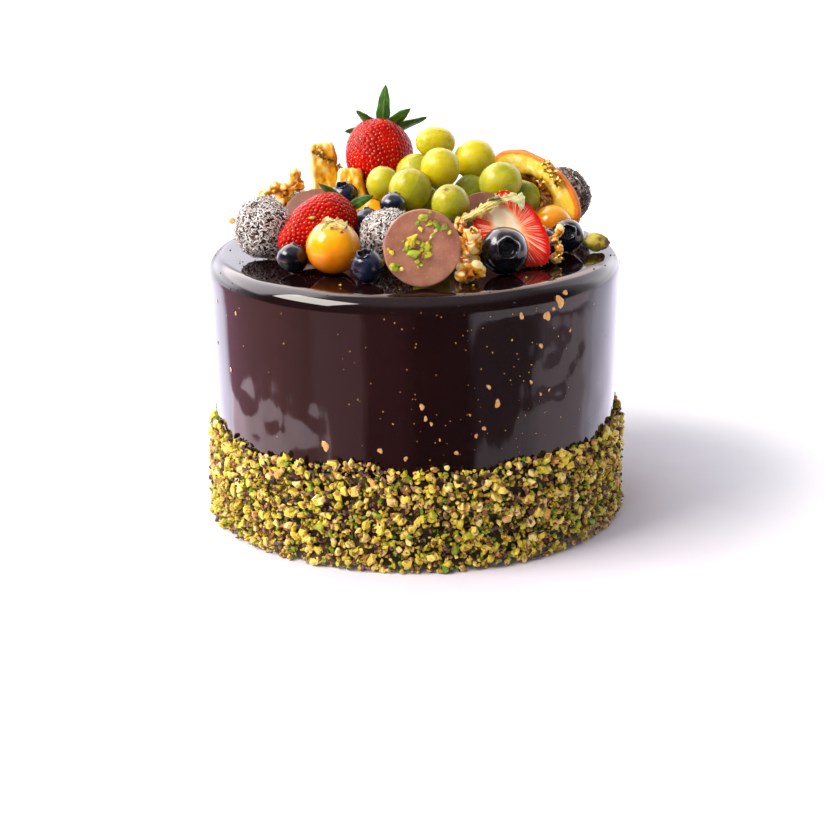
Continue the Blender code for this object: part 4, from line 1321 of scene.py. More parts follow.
def makeHalfBerry():
    radius, length = halfBerry["radius"], halfBerry["length"]
    profile = strawberryProfile(radius, length, halfBerry["rows"])
    back, flat = halfBerry["backSteps"], halfBerry["faceSteps"]
    dent, dentWide, dentMiddle, dentTall = halfBerry["hollow"]
    points = [((0, 0, profile[0, 1]), 0.3, 0.0, 0)]  # place, depth, ray, on the cut face
    for r, z in profile[1:-1]:
        for step in range(back):
            angle = math.pi * step / back
            points.append(((r * math.cos(angle), r * math.sin(angle), z), 0.0, 0.0, 0))
        for step in range(flat):
            share = -1 + 2 * step / flat
            x = share * r
            fromTip = z + length / 2
            inward = min((1 - abs(share)) * r / (0.9 * radius), 1.0)
            endwise = min(fromTip / (0.22 * length), (0.985 * length - fromTip) / (0.10 * length), 1.0)
            # the pale core lies high, towards the calyx
            depth = max(0.0, min(inward, endwise)) * min(1.0, 0.62 + 0.9 * (z / length + 0.28))
            aside = x / (dentWide * radius)
            above = (z - dentMiddle * length) / (dentTall * length)
            hollow = dent * math.exp(-aside ** 2 - above ** 2)
            points.append(((x, hollow, z), depth, math.atan2(x, z - 0.05 * length) * 4, 1))
    points.append(((0, 0, profile[-1, 1]), 0.0, 0.0, 0))
    verts, depths, rays, onFace = (np.array(column, float) for column in zip(*points))
    faces = lathe(profile, back + flat)[1]
    verts[:, 1] += 0.10 * ripples(verts, 3.0, 41) * onFace
    turn = halfBerryFrame()
    makePiece("strawberryHalf", verts @ turn.T + halfBerry["centre"], faces, [cutStrawberryFlesh],
              ("strawberry_half",), {"depth": depths, "ray": rays})
    dice = np.random.default_rng(44)
    angle, reach, height = seedSpots(profile, strawberries["seedGap"], math.pi)[:3]
    across, outOf, lengthways = halfBerry["seedSize"]
    upwards = np.array((0, 0, 1.0))
    seeds = []
    for k in range(len(angle)):
        out = unit((math.cos(angle[k]), math.sin(angle[k]), 0.0))
        local = np.stack([np.cross(upwards, out) * across, out * outOf, upwards * lengthways], 1)
        where = out * (reach[k] - 0.1) + (0, 0, height[k])
        seeds.append((0, turn @ where + halfBerry["centre"], turn @ local, randomTone(dice, 0.6, 0.2)))
    scatterPiece("halfBerrySeeds", [seedShape], seeds, [strawberrySeed], True)


makeHalfBerry()
print("cut strawberry is laid")


# leaves

leafStars = {
    # node: (centre, axis, hub, leaves as (heading, length, width, lift, bend, side), piece name)
    "calyx_top": ((-13.9, 45.9, 159.3), (0.10, 0.79, 0.60), 4.0,
                  ((2, 15.4, 6.4, 0.55, 0.05, -0.10), (60, 10.0, 5.6, 0.0, -0.1, 0.0),
                   (116, 10.0, 5.6, 0.0, -0.1, 0.0), (172, 13.0, 5.4, 0.0, 0.0, 0.05),
                   (222, 12.0, 5.4, 0.1, 0.0, 0.0), (270, 14.6, 6.4, 0.55, 0.12, 0.0),
                   (316, 13.0, 6.0, 0.34, 0.0, 0.0)), "calyxTop"),
    "calyx_left": ((-28.0, -12.2, 136.0), (0.697, 0.658, 0.293), 2.6,
                   ((194, 13.2, 6.0, -0.22, -0.16, 0.0), (284, 8.4, 4.4, 0.62, 0.12, 0.1),
                    (40, 3.2, 4.0, 0.1, 0.0, 0.0), (112, 6.0, 4.5, 0.0, 0.0, 0.0)), "calyxLeft"),
}
leafShape = {
    "along": 22,
    "across": 9,
    # share of the way to the tip, and share of the full width there
    "spread": ((0, 0.15, 0.38, 0.72, 0.9, 1.0), (0.58, 0.84, 1.0, 0.74, 0.38, 0.03)),
    "button": ((0, 1.1), (0.6, 1.0), (1.0, 0.6), (1.1, 0.0), (0.8, -0.5), (0, -0.6)),
}
# the small leaf left on the cut half's shoulder
scrapLeaf = {
    "rise": 16.6,
    "shift": (0.6, 1.2, 0.6),
    "axis": (-0.55, 0.45, 0.70),
    "hub": 1.6,
    "leaves": ((300, 6.5, 4.6, 0.02, -0.35, 0.0), (20, 7.5, 4.6, -0.05, -0.35, 0.0),
               (180, 4.0, 3.6, 0.0, -0.3, 0.0)),
    "thick": 0.5,
    "seed": 90,
}


def leafMaterial():
    # fresh strawberry calyx: soft matt green, hairy, with a paler midrib and thin edges
    # that light shines through
    mat, add = newMaterial("freshCalyxLeaf", {
        "Roughness": 0.46, "IOR": 1.42, "Subsurface": (0.2, (0.4, 1.0, 0.15), 0.0015), "Sheen Weight": 0.1})
    rib = add("Attribute rib", {}, "Fac")
    mottle = add("TexNoise", {"pitch": 3, "Detail": 5.0, "Roughness": 0.65})
    leaf = add("ValToRGB", {"Fac": mottle, "stops": (
        (0.3, "#1f4410"), (0.52, "#376619"), (0.75, "#5f8f28"))})
    ribs = add("MapRange", (rib, 0.6, 1.0, 0.0, 0.5))
    final = add("Mix", {"Factor": ribs, "A": leaf, "B": "#86a648"})
    return finish(mat, final, (mottle, 0.5, 0.0003))


freshLeaf = leafMaterial()


def leafGrid(hub, heading, length, width, lift, bend, side, seed):
    # one leaf as rows of points from hub to tip, with a raised fold and wavy toothed edge
    dice = np.random.default_rng(seed)
    angle = math.radians(heading)
    out = np.array([math.cos(angle), math.sin(angle), 0])
    across = np.array([-math.sin(angle), math.cos(angle), 0])
    stations = np.linspace(0, 1, leafShape["along"])
    spread = np.interp(stations, *leafShape["spread"])
    sides = np.linspace(-1, 1, leafShape["across"])
    grid = np.zeros((len(stations), len(sides), 3))
    ribs = np.zeros((len(stations), len(sides)))
    wave = dice.uniform(0, 6, 2)
    for i, share in enumerate(stations):
        half = spread[i] * width * 0.5
        tooth = 1 + 0.025 * math.sin(share * 21 + wave[0]) * (0.2 < share < 0.92)
        height = lift * share * length + bend * share * share * length
        swerve = side * share * share * length
        for j, place in enumerate(sides):
            off = abs(place)
            fold = 0.22 * half * off + 0.05 * width * math.sin(share * 9 + wave[1] + place * 2) * off
            edge = half * place * (tooth if off > 0.8 else 1)
            grid[i, j] = out * (hub + share * length) + across * (swerve + edge) + (0, 0, height + fold)
            vein = abs(math.sin(share * 16 + off * 3)) > 0.93
            ribs[i, j] = max(0.0, 1 - off * 3.2) + 0.35 * vein
    return grid, ribs


def makeLeaves(name, node, centre, axis, hub, leaves, thick=0.55, seed=60):
    verts, faces, ribs = [], [], []
    for number, leaf in enumerate(leaves):
        grid, rib = leafGrid(hub * 0.35, leaf[0], leaf[1] + hub * 0.65, *leaf[2:], seed + number)
        both, more = sheet(grid, (0, 0, -thick))
        faces += [tuple(len(verts) + i for i in f) for f in more]
        verts.extend(both)
        ribs.extend(np.tile(rib.ravel(), 2))
    button, buttonFaces = lathe(leafShape["button"], 14)[:2]
    start = len(verts)
    verts.extend(button * (hub * 0.42))
    ribs.extend([0.8] * len(button))
    faces.extend([tuple(start + i for i in f) for f in buttonFaces])
    makePiece(name, np.array(verts) @ turnTo(axis).T + centre, faces, [freshLeaf],
              (node,) if node else (), {"rib": ribs})


for node, (centre, axis, hub, leaves, name) in leafStars.items():
    makeLeaves(name, node, centre, axis, hub, leaves)
halfTop = np.array(halfBerry["centre"]) + unit(halfBerry["up"]) * scrapLeaf["rise"] + scrapLeaf["shift"]
makeLeaves("halfBerryLeaf", None, halfTop, scrapLeaf["axis"], scrapLeaf["hub"], scrapLeaf["leaves"],
           scrapLeaf["thick"], scrapLeaf["seed"])
print("leaves are on")


# dry husk

huskPiece = {
    "stations": (((16.4, -35.6, 132.6), (17.0, -36.2, 134.4), (17.6, -35.2, 136.0)),
                 ((22.8, -35.6, 134.6), (23.4, -36.0, 137.0), (24.0, -34.6, 139.0)),
                 ((29.0, -36.0, 137.6), (29.6, -35.8, 140.4), (30.2, -34.2, 142.4)),
                 ((35.2, -35.4, 141.2), (35.8, -34.8, 143.2), (36.4, -33.2, 145.2)),
                 ((41.2, -33.8, 142.6), (41.8, -33.0, 144.2), (42.4, -31.4, 146.0)),
                 ((46.2, -33.0, 138.8), (46.6, -32.4, 142.0), (46.8, -31.0, 144.8))),
    "long": 64,
    "wide": 13,
    "thick": 0.45,
    "crease": (0.42, 2.6),  # depth and pitch
    "wave": (0.30, 3.5),
}
paperyHusk = dryMaterial("paperyHusk", (
    (0.30, "#57420e"), (0.44, "#917428"), (0.58, "#c4a84c"), (0.74, "#e8d48c"),
    (0.92, "#d0cc80")), 0.25, "#dbe0ac")


def makeHusk():
    rows = np.array(huskPiece["stations"], float)
    long, wide = huskPiece["long"], huskPiece["wide"]
    lines = np.stack([smoothLine(rows[:, k], long) for k in range(3)], 1)
    sides = np.linspace(0, 2, wide)
    grid = np.zeros((long, wide, 3))
    for j, s in enumerate(sides):
        k = min(1, int(s))
        grid[:, j] = lines[:, k] * (1 - (s - k)) + lines[:, k + 1] * (s - k)
    dice = np.random.default_rng(66)
    ends = np.linspace(0, 1, long)
    flat = grid.reshape(-1, 3)
    depth, pitch = huskPiece["crease"]
    grid[:, :, 1] += depth * ripples(flat * (0.5, 1, 1.6), pitch, 67).reshape(long, wide)
    depth, pitch = huskPiece["wave"]
    grid[:, :, 2] += depth * ripples(flat, pitch, 68).reshape(long, wide)
    ragged = 0.5 * np.sin(ends * 55) + 0.4 * dice.normal(size=long)
    for j in (0, wide - 1):
        grid[:, j, 2] += ragged * (1 if j else -1)
    ribs = np.tile(0.5 + 0.5 * np.cos(sides * 12), (long, 1))
    verts, faces = sheet(grid, (0, huskPiece["thick"], 0))
    makePiece("dryHusk", verts, faces, [paperyHusk], ("husk",),
              {"rib": np.tile(ribs.ravel(), 2), "end": np.tile(np.repeat(ends, wide), 2)})


makeHusk()
print("husk is tucked in")


# truffles

truffles = {
    "shreds": 2300,  # on a ball of 12 mm radius
    "shredLength": (1.1, 3.1),
    "shredThick": (1.3, 2.2),
    "rows": 34,
    "steps": 48,
    "skin": 0.7,  # the ball lies this far inside the full size
    "lump": 0.03,
    "lowest": 116.8,  # no shred below this height, just above the glaze
    "dark": {"truffle_right": 0.36},  # painted shade: this truffle sits in shade, so its shreds are painted darker
    "balls": {
        # node: (centre, radius, stretch, piece name)
        "truffle_left": ((-64.2, -17.6, 129.4), 12.5, (1.0, 1.0, 1.05), "truffleLeft"),
        "truffle_middle": ((-10.6, -33.5, 128.5), 12.0, (1, 1, 1), "truffleMiddle"),
        "truffle_right": ((68.3, 41.2, 129.8), 12.7, (0.95, 0.98, 1.06), "truffleRight"),
        "truffle_back_left": ((-57.0, 45.0, 126.6), 10.2, (1, 1, 1), "truffleBackLeft"),
        "truffle_back": ((2.4, 46.6, 127.8), 11.8, (1, 1, 1), "truffleBack"),
    },
}


def truffleMaterial():
    # hand rolled ganache dusted with cocoa: dark, soft, crumbly
    mat, add = newMaterial("rolledGanache", {"Roughness": 0.7, "IOR": 1.45})
    crumb = add("TexNoise", {"pitch": 1.6, "Detail": 5.0, "Roughness": 0.7})
    tone = add("ValToRGB", {"Fac": crumb, "stops": ((0.3, "#150a08"), (0.55, "#2c1814"), (0.8, "#452a23"))})
    return finish(mat, tone, (crumb, 0.6, 0.0006))


def coconutMaterial():
    # desiccated coconut shreds: white, dry and slightly see-through, some stained by cocoa; their tones
    # also carry painted light and shade, paler on top, darker underneath and on the shaded truffle
    mat, add = newMaterial("desiccatedCoconut", {
        "Roughness": 0.5, "IOR": 1.45, "Subsurface": (0.15, (1.0, 0.9, 0.8), 0.0006)})
    tone = add("Attribute tone", {}, "Fac")
    stain = add("TexNoise", {"pitch": 1.4, "Detail": 2.0})
    mixed = add("Math MULTIPLY_ADD", (stain, 0.5, tone))
    ramp = add("ValToRGB", {"Fac": mixed, "stops": (
        (0.25, "#4a332b"), (0.48, "#8f7a71"), (0.70, "#d3cac5"), (0.95, "#f3efec"))})
    return finish(mat, ramp)


rolledGanache = truffleMaterial()
coconut = coconutMaterial()


def shredShapes(count, seed):
    # short bent three-sided shreds, about 1 long
    dice = np.random.default_rng(seed)
    shapes = []
    for number in range(count):
        bend = dice.uniform(-0.15, 0.15)
        wide = dice.uniform(0.13, 0.24)
        verts, faces = [], []
        for k in range(3):
            share = k / 2 - 0.5
            narrow = 1 - 1.2 * share * share
            for corner in range(3):
                angle = corner * fullTurn / 3 + 1.2 * share + number
                verts.append((share, wide * narrow * math.cos(angle) + bend * share * share * 2,
                              0.13 * narrow * math.sin(angle) - 0.12 * share * share))
        for k in range(2):
            for corner in range(3):
                a, b = 3 * k + corner, 3 * k + (corner + 1) % 3
                faces.append((a, b, b + 3, a + 3))
        faces.append((2, 1, 0))
        faces.append((6, 7, 8))
        shapes.append((np.array(verts), faces))
    return shapes


def makeTruffles():
    placed = []
    for number, (node, (centre, radius, stretch, name)) in enumerate(truffles["balls"].items()):
        dice = np.random.default_rng(400 + number)
        profile = ballProfile(truffles["rows"]) * (radius - truffles["skin"])
        verts, faces = lathe(profile, truffles["steps"])[:2]
        verts *= (1 + truffles["lump"] * ripples(verts, radius * 0.9, 410 + number)
                  + 0.014 * ripples(verts, 2.2, 420 + number))[:, None]
        verts = verts * stretch + centre
        makePiece(name, verts, faces, [rolledGanache], (node,))
        count = int(truffles["shreds"] * (radius / 12.0) ** 2)
        dark = truffles["dark"].get(node, 0.0)
        for k in range(count):
            height = 1 - 2 * (k + 0.5) / count
            angle = k * goldenAngle + dice.normal(0, 0.05)
            flat = math.sqrt(1 - height * height)
            out = np.array([flat * math.cos(angle), flat * math.sin(angle), height])
            length = dice.uniform(*truffles["shredLength"])
            w = unit(out + 0.22 * dice.normal(size=3))
            u = unit(np.cross(w, dice.normal(size=3)))
            u = unit(u + out * dice.normal(0, 0.28))
            v = unit(np.cross(w, u))
            thick = dice.uniform(*truffles["shredThick"])
            turn = np.stack([u * length, v * thick, w * thick], 1)
            lift = radius - 0.62 + dice.uniform(-0.3, 0.45)
            lump = float(ripples((out * radius)[None, :], radius * 0.9, 410 + number)[0])
            where = out * lift * (1 + truffles["lump"] * lump) * stretch + centre
            if where[2] < truffles["lowest"]:
                continue
            shape = dice.integers(0, 10)
            # painted light and shade: shreds are paler towards the top of each ball, darker underneath and
            # darker on the shaded truffle
            placed.append((shape, where, turn, randomTone(dice, 0.46 + 0.10 * height - dark, 0.24)))
    scatterPiece("coconutShreds", shredShapes(10, 7), placed, [coconut])


makeTruffles()
print("truffles are rolled")


# chocolate discs

discs = {
    "thick": 4.8,
    "edge": 0.8,
    "steps": 72,
    "coins": {
        # node: (centre, lean, heading, radius, painted shade, piece name)
        "disc_front": ((3.3, -71.2, 131.8), 11.0, 3.0, 15.5, 0.0, "chocolateDiscFront"),
        "disc_left": ((-41.4, 14.2, 128.0), 60.0, 0.0, 15.5, 0.4, "chocolateDiscLeft"),
        "disc_middle": ((30.4, -13.5, 129.4), 33.0, 2.0, 13.6, 0.5, "chocolateDiscMiddle"),
        "disc_back": ((-0.5, 63.6, 131.7), 18.0, 184.0, 15.5, 0.1, "chocolateDiscBack"),
    },
    # pistachio on the front disc: (across, up, size)
    "bits": ((0.5, 12.2, 5.2), (5.6, 9.4, 4.8), (8.8, 8.2, 4.2), (-3.6, 3.9, 6.2), (-5.6, 2.2, 3.8),
             (-3.4, -1.6, 6.8), (2.0, 1.4, 5.0), (1.2, -2.9, 6.0), (-11.8, -7.6, 5.6), (-12.4, -1.4, 2.8),
             (3.6, 4.6, 2.4), (-0.6, -6.4, 2.2), (3.4, 9.8, 2.6)),
}


def milkChocolateMaterial():
    # moulded milk chocolate, tempered: satin, slightly dusty, with tiny pits and scuffs; discs that sit in
    # shade are painted darker as painted shade
    mat, add = newMaterial("mouldedMilkChocolate", {
        "IOR": 1.45, "Subsurface": (0.05, (1.0, 0.5, 0.3), 0.001)})
    cloud = add("TexNoise", {"pitch": 7, "Detail": 5.0, "Roughness": 0.6})
    tone = add("ValToRGB", {"Fac": cloud, "stops": ((0.3, "#8a5645"), (0.5, "#9f6752"), (0.72, "#b07961"))})
    dust = add("TexNoise", {"pitch": 0.8, "Detail": 3.0, "Roughness": 0.7})
    dusted = add("MapRange", (dust, 0.60, 0.70, 0.0, 0.7))
    moulded = add("Mix", {"Factor": dusted, "A": tone, "B": "#c09a80"})
    # painted shade: darkens the discs that sit in shade
    dark = add("Attribute dark", {}, "Fac")
    final = add("Mix", {"Factor": dark, "A": moulded, "B": "#3a1c12"})
    gloss = add("MapRange", (cloud, 0.3, 0.7, 0.34, 0.50))
    return finish(mat, final, (dust, 0.25, 0.0003), gloss)


milkChocolate = milkChocolateMaterial()


def makeDiscs():
    half = discs["thick"] / 2
    edge = discs["edge"]
    for number, (node, (centre, lean, heading, radius, dark, name)) in enumerate(discs["coins"].items()):
        bend = np.linspace(0, math.pi / 2, 6)
        profile = [(0, half), (radius * 0.35, half), (radius * 0.7, half), (radius - 2.2, half)]
        profile += [(radius - edge + edge * math.sin(a), half - edge + edge * math.cos(a)) for a in bend]
        profile += [(radius + 0.05, 0)]
        profile += [(radius - edge + edge * math.cos(a), -half + edge - edge * math.sin(a)) for a in bend]
        profile += [(radius * 0.6, -half), (0, -half)]
        verts, faces = lathe(profile, discs["steps"])[:2]
        verts += outward(verts, faces) * (0.10 * ripples(verts, 9.0, 500 + number))[:, None]
        turn = tipTurn(90.0 - lean, heading)
        makePiece(name, verts @ turn.T + centre, faces, [milkChocolate], (node,),
                  {"dark": np.full(len(verts), dark)})
    centre, lean, heading, radius = discs["coins"]["disc_front"][:4]
    turn = tipTurn(90.0 - lean, heading)
    dice = np.random.default_rng(510)
    placed = []
    for x, y, size in discs["bits"]:
        for k in range(4):
            each = size * (1.0 if k == 0 else dice.uniform(0.35, 0.62))
            spread = 0 if k == 0 else size * 0.62
            offset = np.array([x + dice.uniform(-1, 1) * spread, y + dice.uniform(-1, 1) * spread,
                               half + each * 0.20])
            if np.hypot(offset[0], offset[1]) > radius - 0.8:
                continue
            local = tangentTurn((0, 0, 1), dice, each * np.array([1.0, 0.8, 0.7]), 0.5)
            placed.append((dice.integers(0, 24), turn @ offset + centre, turn @ local,
                           randomTone(dice, 0.26, 0.2)))
    scatterPiece("discPistachio", chippedShapes(24, 18, 9, 0.8), placed, [pistachioChunk])


makeDiscs()
print("chocolate discs are stood up")


# citrus pieces

citrus = {
    "corner": 2.2,  # roundness of the long edges
    "fine": (0.7, 0.8),  # gaps between points round the slab and up it
    "slabs": {
        # node: (centre, size, top narrowing, top shift, lean, heading, piece name)
        "orange_tall": ((-36.6, 33.0, 136.4), (16.0, 6.0, 40.0), 0.72, -4.4, 4.0, 6.0, "orangeTall"),
        "orange_small": ((-26.4, 16.4, 140.4), (15.0, 6.0, 15.0), 0.66, -1.6, 14.0, -8.0, "orangeSmall"),
    },
}


def citrusMaterial():
    # fresh cut citrus: wet juice sacs under thin skin, yellow with orange depth, with chalky
    # pith on one edge
    mat, add = newMaterial("cutOrangeFlesh", {
        "Roughness": 0.20, "IOR": 1.36, "Subsurface": (0.4, (1.0, 0.6, 0.12), 0.003),
        "Coat Weight": 0.5, "Coat Roughness": 0.06})
    edge = add("Attribute edge", {}, "Fac")
    place = add("TexCoord", {}, "Object")
    tall = add("Mapping", {"Vector": place, "Scale": (1.0, 1.0, 0.65)})
    sacs = add("TexVoronoi", {
        "Vector": tall, "pitch": 1.8, "feature": "SMOOTH_F1", "Smoothness": 0.5})
    mottle = add("TexNoise", {"pitch": 5, "Detail": 4.0, "Distortion": 0.5})
    blend = add("Math MULTIPLY_ADD", (sacs, 0.35, mottle))
    # the palest cream stops are partly the flesh's own paler tone and partly painted highlight on the wet
    # sacs
    flesh = add("ValToRGB", {"Fac": blend, "stops": (
        (0.38, "#d47806"), (0.54, "#ee9f10"), (0.68, "#f6bd2e"), (0.80, "#fbd878"), (0.95, "#fef0c0"))})
    pith = add("MapRange", (edge, 0.80, 0.93, 0.0, 0.9))
    withPith = add("Mix", {"Factor": pith, "A": flesh, "B": "#f3e9b8"})
    rind = add("MapRange", (edge, 0.14, 0.05, 0.0, 0.8))
    final = add("Mix", {"Factor": rind, "A": withPith, "B": "#d97c18"})
    return finish(mat, final, (blend, 0.5, 0.0007))


cutOrange = citrusMaterial()


def roundedSlab(size, narrow, shift):
    # slab with softly rounded long edges as stacked loops, bottom to top
    width, depth, height = size
    loop = []
    corner = min(depth * 0.42, citrus["corner"])
    gapRound, gapUp = citrus["fine"]
    for cx, cy, start in ((1, -1, -90), (1, 1, 0), (-1, 1, 90), (-1, -1, 180)):
        for a in np.radians(np.linspace(start, start + 90, 5)):
            loop.append((cx * (width / 2 - corner) + corner * math.cos(a),
                         cy * (depth / 2 - corner) + corner * math.sin(a)))
    fine = []
    for (x0, y0), (x1, y1) in zip(loop, loop[1:] + loop[:1]):
        parts = max(1, int(math.hypot(x1 - x0, y1 - y0) / gapRound))
        for k in range(parts):
            fine.append((x0 + (x1 - x0) * k / parts, y0 + (y1 - y0) * k / parts))
    fine = np.array(fine)
    rows = max(8, int(height / gapUp))
    verts, edge = [], []
    for i in range(rows + 1):
        share = i / rows
        z = (share - 0.5) * height
        pinch = 1 - 0.10 * max(0, 1 - min(share, 1 - share) * height / 1.2)
        ring = fine * ((1 + (narrow - 1) * share) * pinch, pinch) + (shift * share, 0)
        verts += [(x, y, z) for x, y in ring]
        edge += [0.5 - x / width for x in fine[:, 0]]
    count = len(fine)
    faces = []
    for i in range(rows):
        for k in range(count):
            n = (k + 1) % count
            faces.append((i * count + k, i * count + n, (i + 1) * count + n, (i + 1) * count + k))
    for row, flip in ((0, True), (rows, False)):
        middle = len(verts)
        verts.append(tuple(np.mean([verts[row * count + k] for k in range(count)], 0)))
        edge.append(0.5)
        for k in range(count):
            n = (k + 1) % count
            tri = (row * count + k, row * count + n, middle)
            faces.append(tri[::-1] if flip else tri)
    return np.array(verts), faces, np.array(edge)


def makeCitrus():
    for number, (node, given) in enumerate(citrus["slabs"].items()):
        centre, size, narrow, shift, lean, heading, name = given
        verts, faces, edge = roundedSlab(size, narrow, shift)
        verts += outward(verts, faces) * (0.35 * ripples(verts * (1, 1, 0.5), 3.2, 600 + number)
                                          + 0.25 * ripples(verts, 8.0, 610 + number))[:, None]
        makePiece(name, verts @ tipTurn(-lean, heading).T + centre, faces, [cutOrange],
                  (node,), {"edge": edge})


makeCitrus()
print("citrus is cut")


# halved stone fruit

stoneFruit = {
    "centre": (53.1, 24.0, 134.8),
    "halfSize": (26.4, 16.5, 11.3),
    "face": (-0.64, -0.77, 0.0),
    "along": (0.70, -0.58, -0.41),
    "profile": ((0.0, -0.40), (0.14, -0.385), (0.26, -0.33), (0.36, -0.20), (0.43, -0.07), (0.50, -0.015),
                (0.62, 0.01), (0.78, 0.012), (0.91, 0.0), (0.975, -0.03), (1.0, -0.09), (0.985, -0.22),
                (0.90, -0.40), (0.75, -0.56), (0.55, -0.68), (0.30, -0.765), (0.0, -0.79)),
    "rows": 90,
    "steps": 128,
    "ribs": (0.05, 11),  # depth and count round the hollow
}


def stoneFruitMaterial():
    # halved ripe apricot: juicy yellow flesh with pale flecks that are partly its own tone and
    # partly painted highlight, a brown ribbed bed where the stone lay, and a fine downy orange-red skin
    mat, add = newMaterial("halvedApricot", {
        "IOR": 1.38, "Subsurface": (0.2, (1.0, 0.5, 0.12), 0.003)})
    reach = add("Attribute reach", {}, "Fac")
    spin = add("Attribute spin", {}, "Fac")
    mottle = add("TexNoise", {"pitch": 4, "Detail": 5.0, "Roughness": 0.6})
    fine = add("TexNoise", {"pitch": 0.9, "Detail": 3.0, "Roughness": 0.65})
    drift = add("Math MULTIPLY_ADD", (mottle, 0.05, -0.025))
    where = add("Math ADD", (reach, drift))
    zones = add("ValToRGB", {"Fac": where, "stops": (
        (0.0, "#6b3410"), (0.14, "#84450f"), (0.21, "#9c5810"), (0.26, "#e0ac28"), (0.32, "#f4d652"),
        (0.41, "#f3cf44"), (0.428, "#dd7f1a"), (0.445, "#d8741c"), (0.78, "#cb5a18"), (1.0, "#cf661e"))})
    # partly painted highlight: pale cream flecks in the flesh, partly the flesh's own paler tone
    pale = add("MapRange", (mottle, 0.48, 0.62, 0.0, 0.9))
    inFlesh = add("ValToRGB", {"Fac": reach, "stops": ((0.25, 0.0), (0.31, 1.0), (0.39, 1.0), (0.42, 0.0))})
    paleFleckAndHighlight = add("Math MULTIPLY", (pale, inFlesh))
    flesh = add("Mix", {"Factor": paleFleckAndHighlight, "A": zones, "B": "#fdeca6"})
    around = add("CombineXYZ", {"X": spin, "Y": reach})
    stretch = add("VectorMath MULTIPLY", (around, (5.0, 6.0, 1.0)))
    ribs = add("TexNoise", {
        "Vector": stretch, "Scale": 1.0, "Detail": 3.0, "Roughness": 0.7, "Distortion": 0.5})
    ribTone = add("ValToRGB", {"Fac": ribs, "stops": (
        (0.36, "#4c250a"), (0.52, "#965512"), (0.66, "#d19a3c"))})
    hollow = add("MapRange", (where, 0.24, 0.19, 0.0, 0.8))
    ribbed = add("Mix", {"Factor": hollow, "A": flesh, "B": ribTone})
    skin = add("MapRange", (where, 0.43, 0.45, 0.0, 1.0))
    freckle = add("MapRange", (fine, 0.42, 0.62, 0.0, 0.55))
    speckled = add("Math MULTIPLY", (skin, freckle))
    final = add("Mix", {"Factor": speckled, "A": ribbed, "B": "#e38f45"})
    gloss = add("MapRange", (skin, 0.0, 1.0, 0.16, 0.55))
    return finish(mat, final, (fine, 0.5, 0.0006), gloss)


halvedApricot = stoneFruitMaterial()


def stoneFruitTurn():
    normal = unit(stoneFruit["face"])
    along = np.array(stoneFruit["along"], float)
    along = unit(along - normal * (along @ normal))
    across = np.cross(normal, along)
    length, width, depth = stoneFruit["halfSize"]
    return np.stack([along * length, across * width, normal * depth], 1)


def makeStoneFruit():
    profile = smoothLine(stoneFruit["profile"], stoneFruit["rows"])
    verts, faces, rows, around = lathe(profile, stoneFruit["steps"])
    depth, count = stoneFruit["ribs"]
    reach = np.hypot(verts[:, 0], verts[:, 1])
    inHollow = np.clip((0.44 - reach) / 0.1, 0, 1) * (rows < 0.35)
    ribbed = depth * np.sin(count * around + 3 * np.sin(reach * 9))
    verts[:, 2] += inHollow * (ribbed + 0.04 * ripples(verts, 0.12, 71))
    verts = verts @ stoneFruitTurn().T
    swell = 0.22 * ripples(verts, 7.0, 72) + 0.07 * ripples(verts, 1.8, 73)
    verts += outward(verts, faces) * swell[:, None]
    makePiece("halvedApricot", verts + stoneFruit["centre"], faces, [halvedApricot],
              ("apricot_half",), {"reach": rows, "spin": around})


makeStoneFruit()
print("stone fruit is halved")


# caramel crunch

crunch = {
    "voxel": 0.42,
    "crag": (0.55, 7.0),  # height and pitch of the lumps
    "fine": (0.95, 4.4),
    "lowest": 116.15,  # just above the glaze
    "nodes": {"crunch_front_low": "crunchFrontLow", "crunch_front_high": "crunchFrontHigh",
              "crunch_right": "crunchRight", "crunch_back_left": "crunchBackLeft",
              "crunch_back": "crunchBack"},
}


def caramelMaterial():
    # nuts broken up in cooked sugar: clear amber caramel over pale kernels, wet looking, with
    # painted light making the humps paler and painted shade making the clefts dark
    mat, add = newMaterial("caramelisedNut", {
        "Roughness": 0.2, "IOR": 1.49, "Subsurface": (0.25, (1.0, 0.5, 0.12), 0.0016),
        "Coat Weight": 0.5, "Coat Roughness": 0.06})
    cleft = add("Attribute cleft", {}, "Fac")
    mottle = add("TexNoise", {"pitch": 3.4, "Detail": 3.0, "Roughness": 0.6,
                              "Distortion": 0.7})
    # painted light and shade: the ramp runs from dark in the clefts to pale on the humps
    blend = add("Math MULTIPLY_ADD", (mottle, 0.9, cleft))
    tone = add("ValToRGB", {"Fac": blend, "stops": (
        (0.16, "#5a2606"), (0.36, "#b8600a"), (0.54, "#e28c12"), (0.74, "#f2ac2a"), (0.94, "#fbdc94"))})
    fine = add("TexNoise", {"pitch": 0.8, "Detail": 3.0})
    return finish(mat, tone, (fine, 0.4, 0.0005))


caramelisedNut = caramelMaterial()


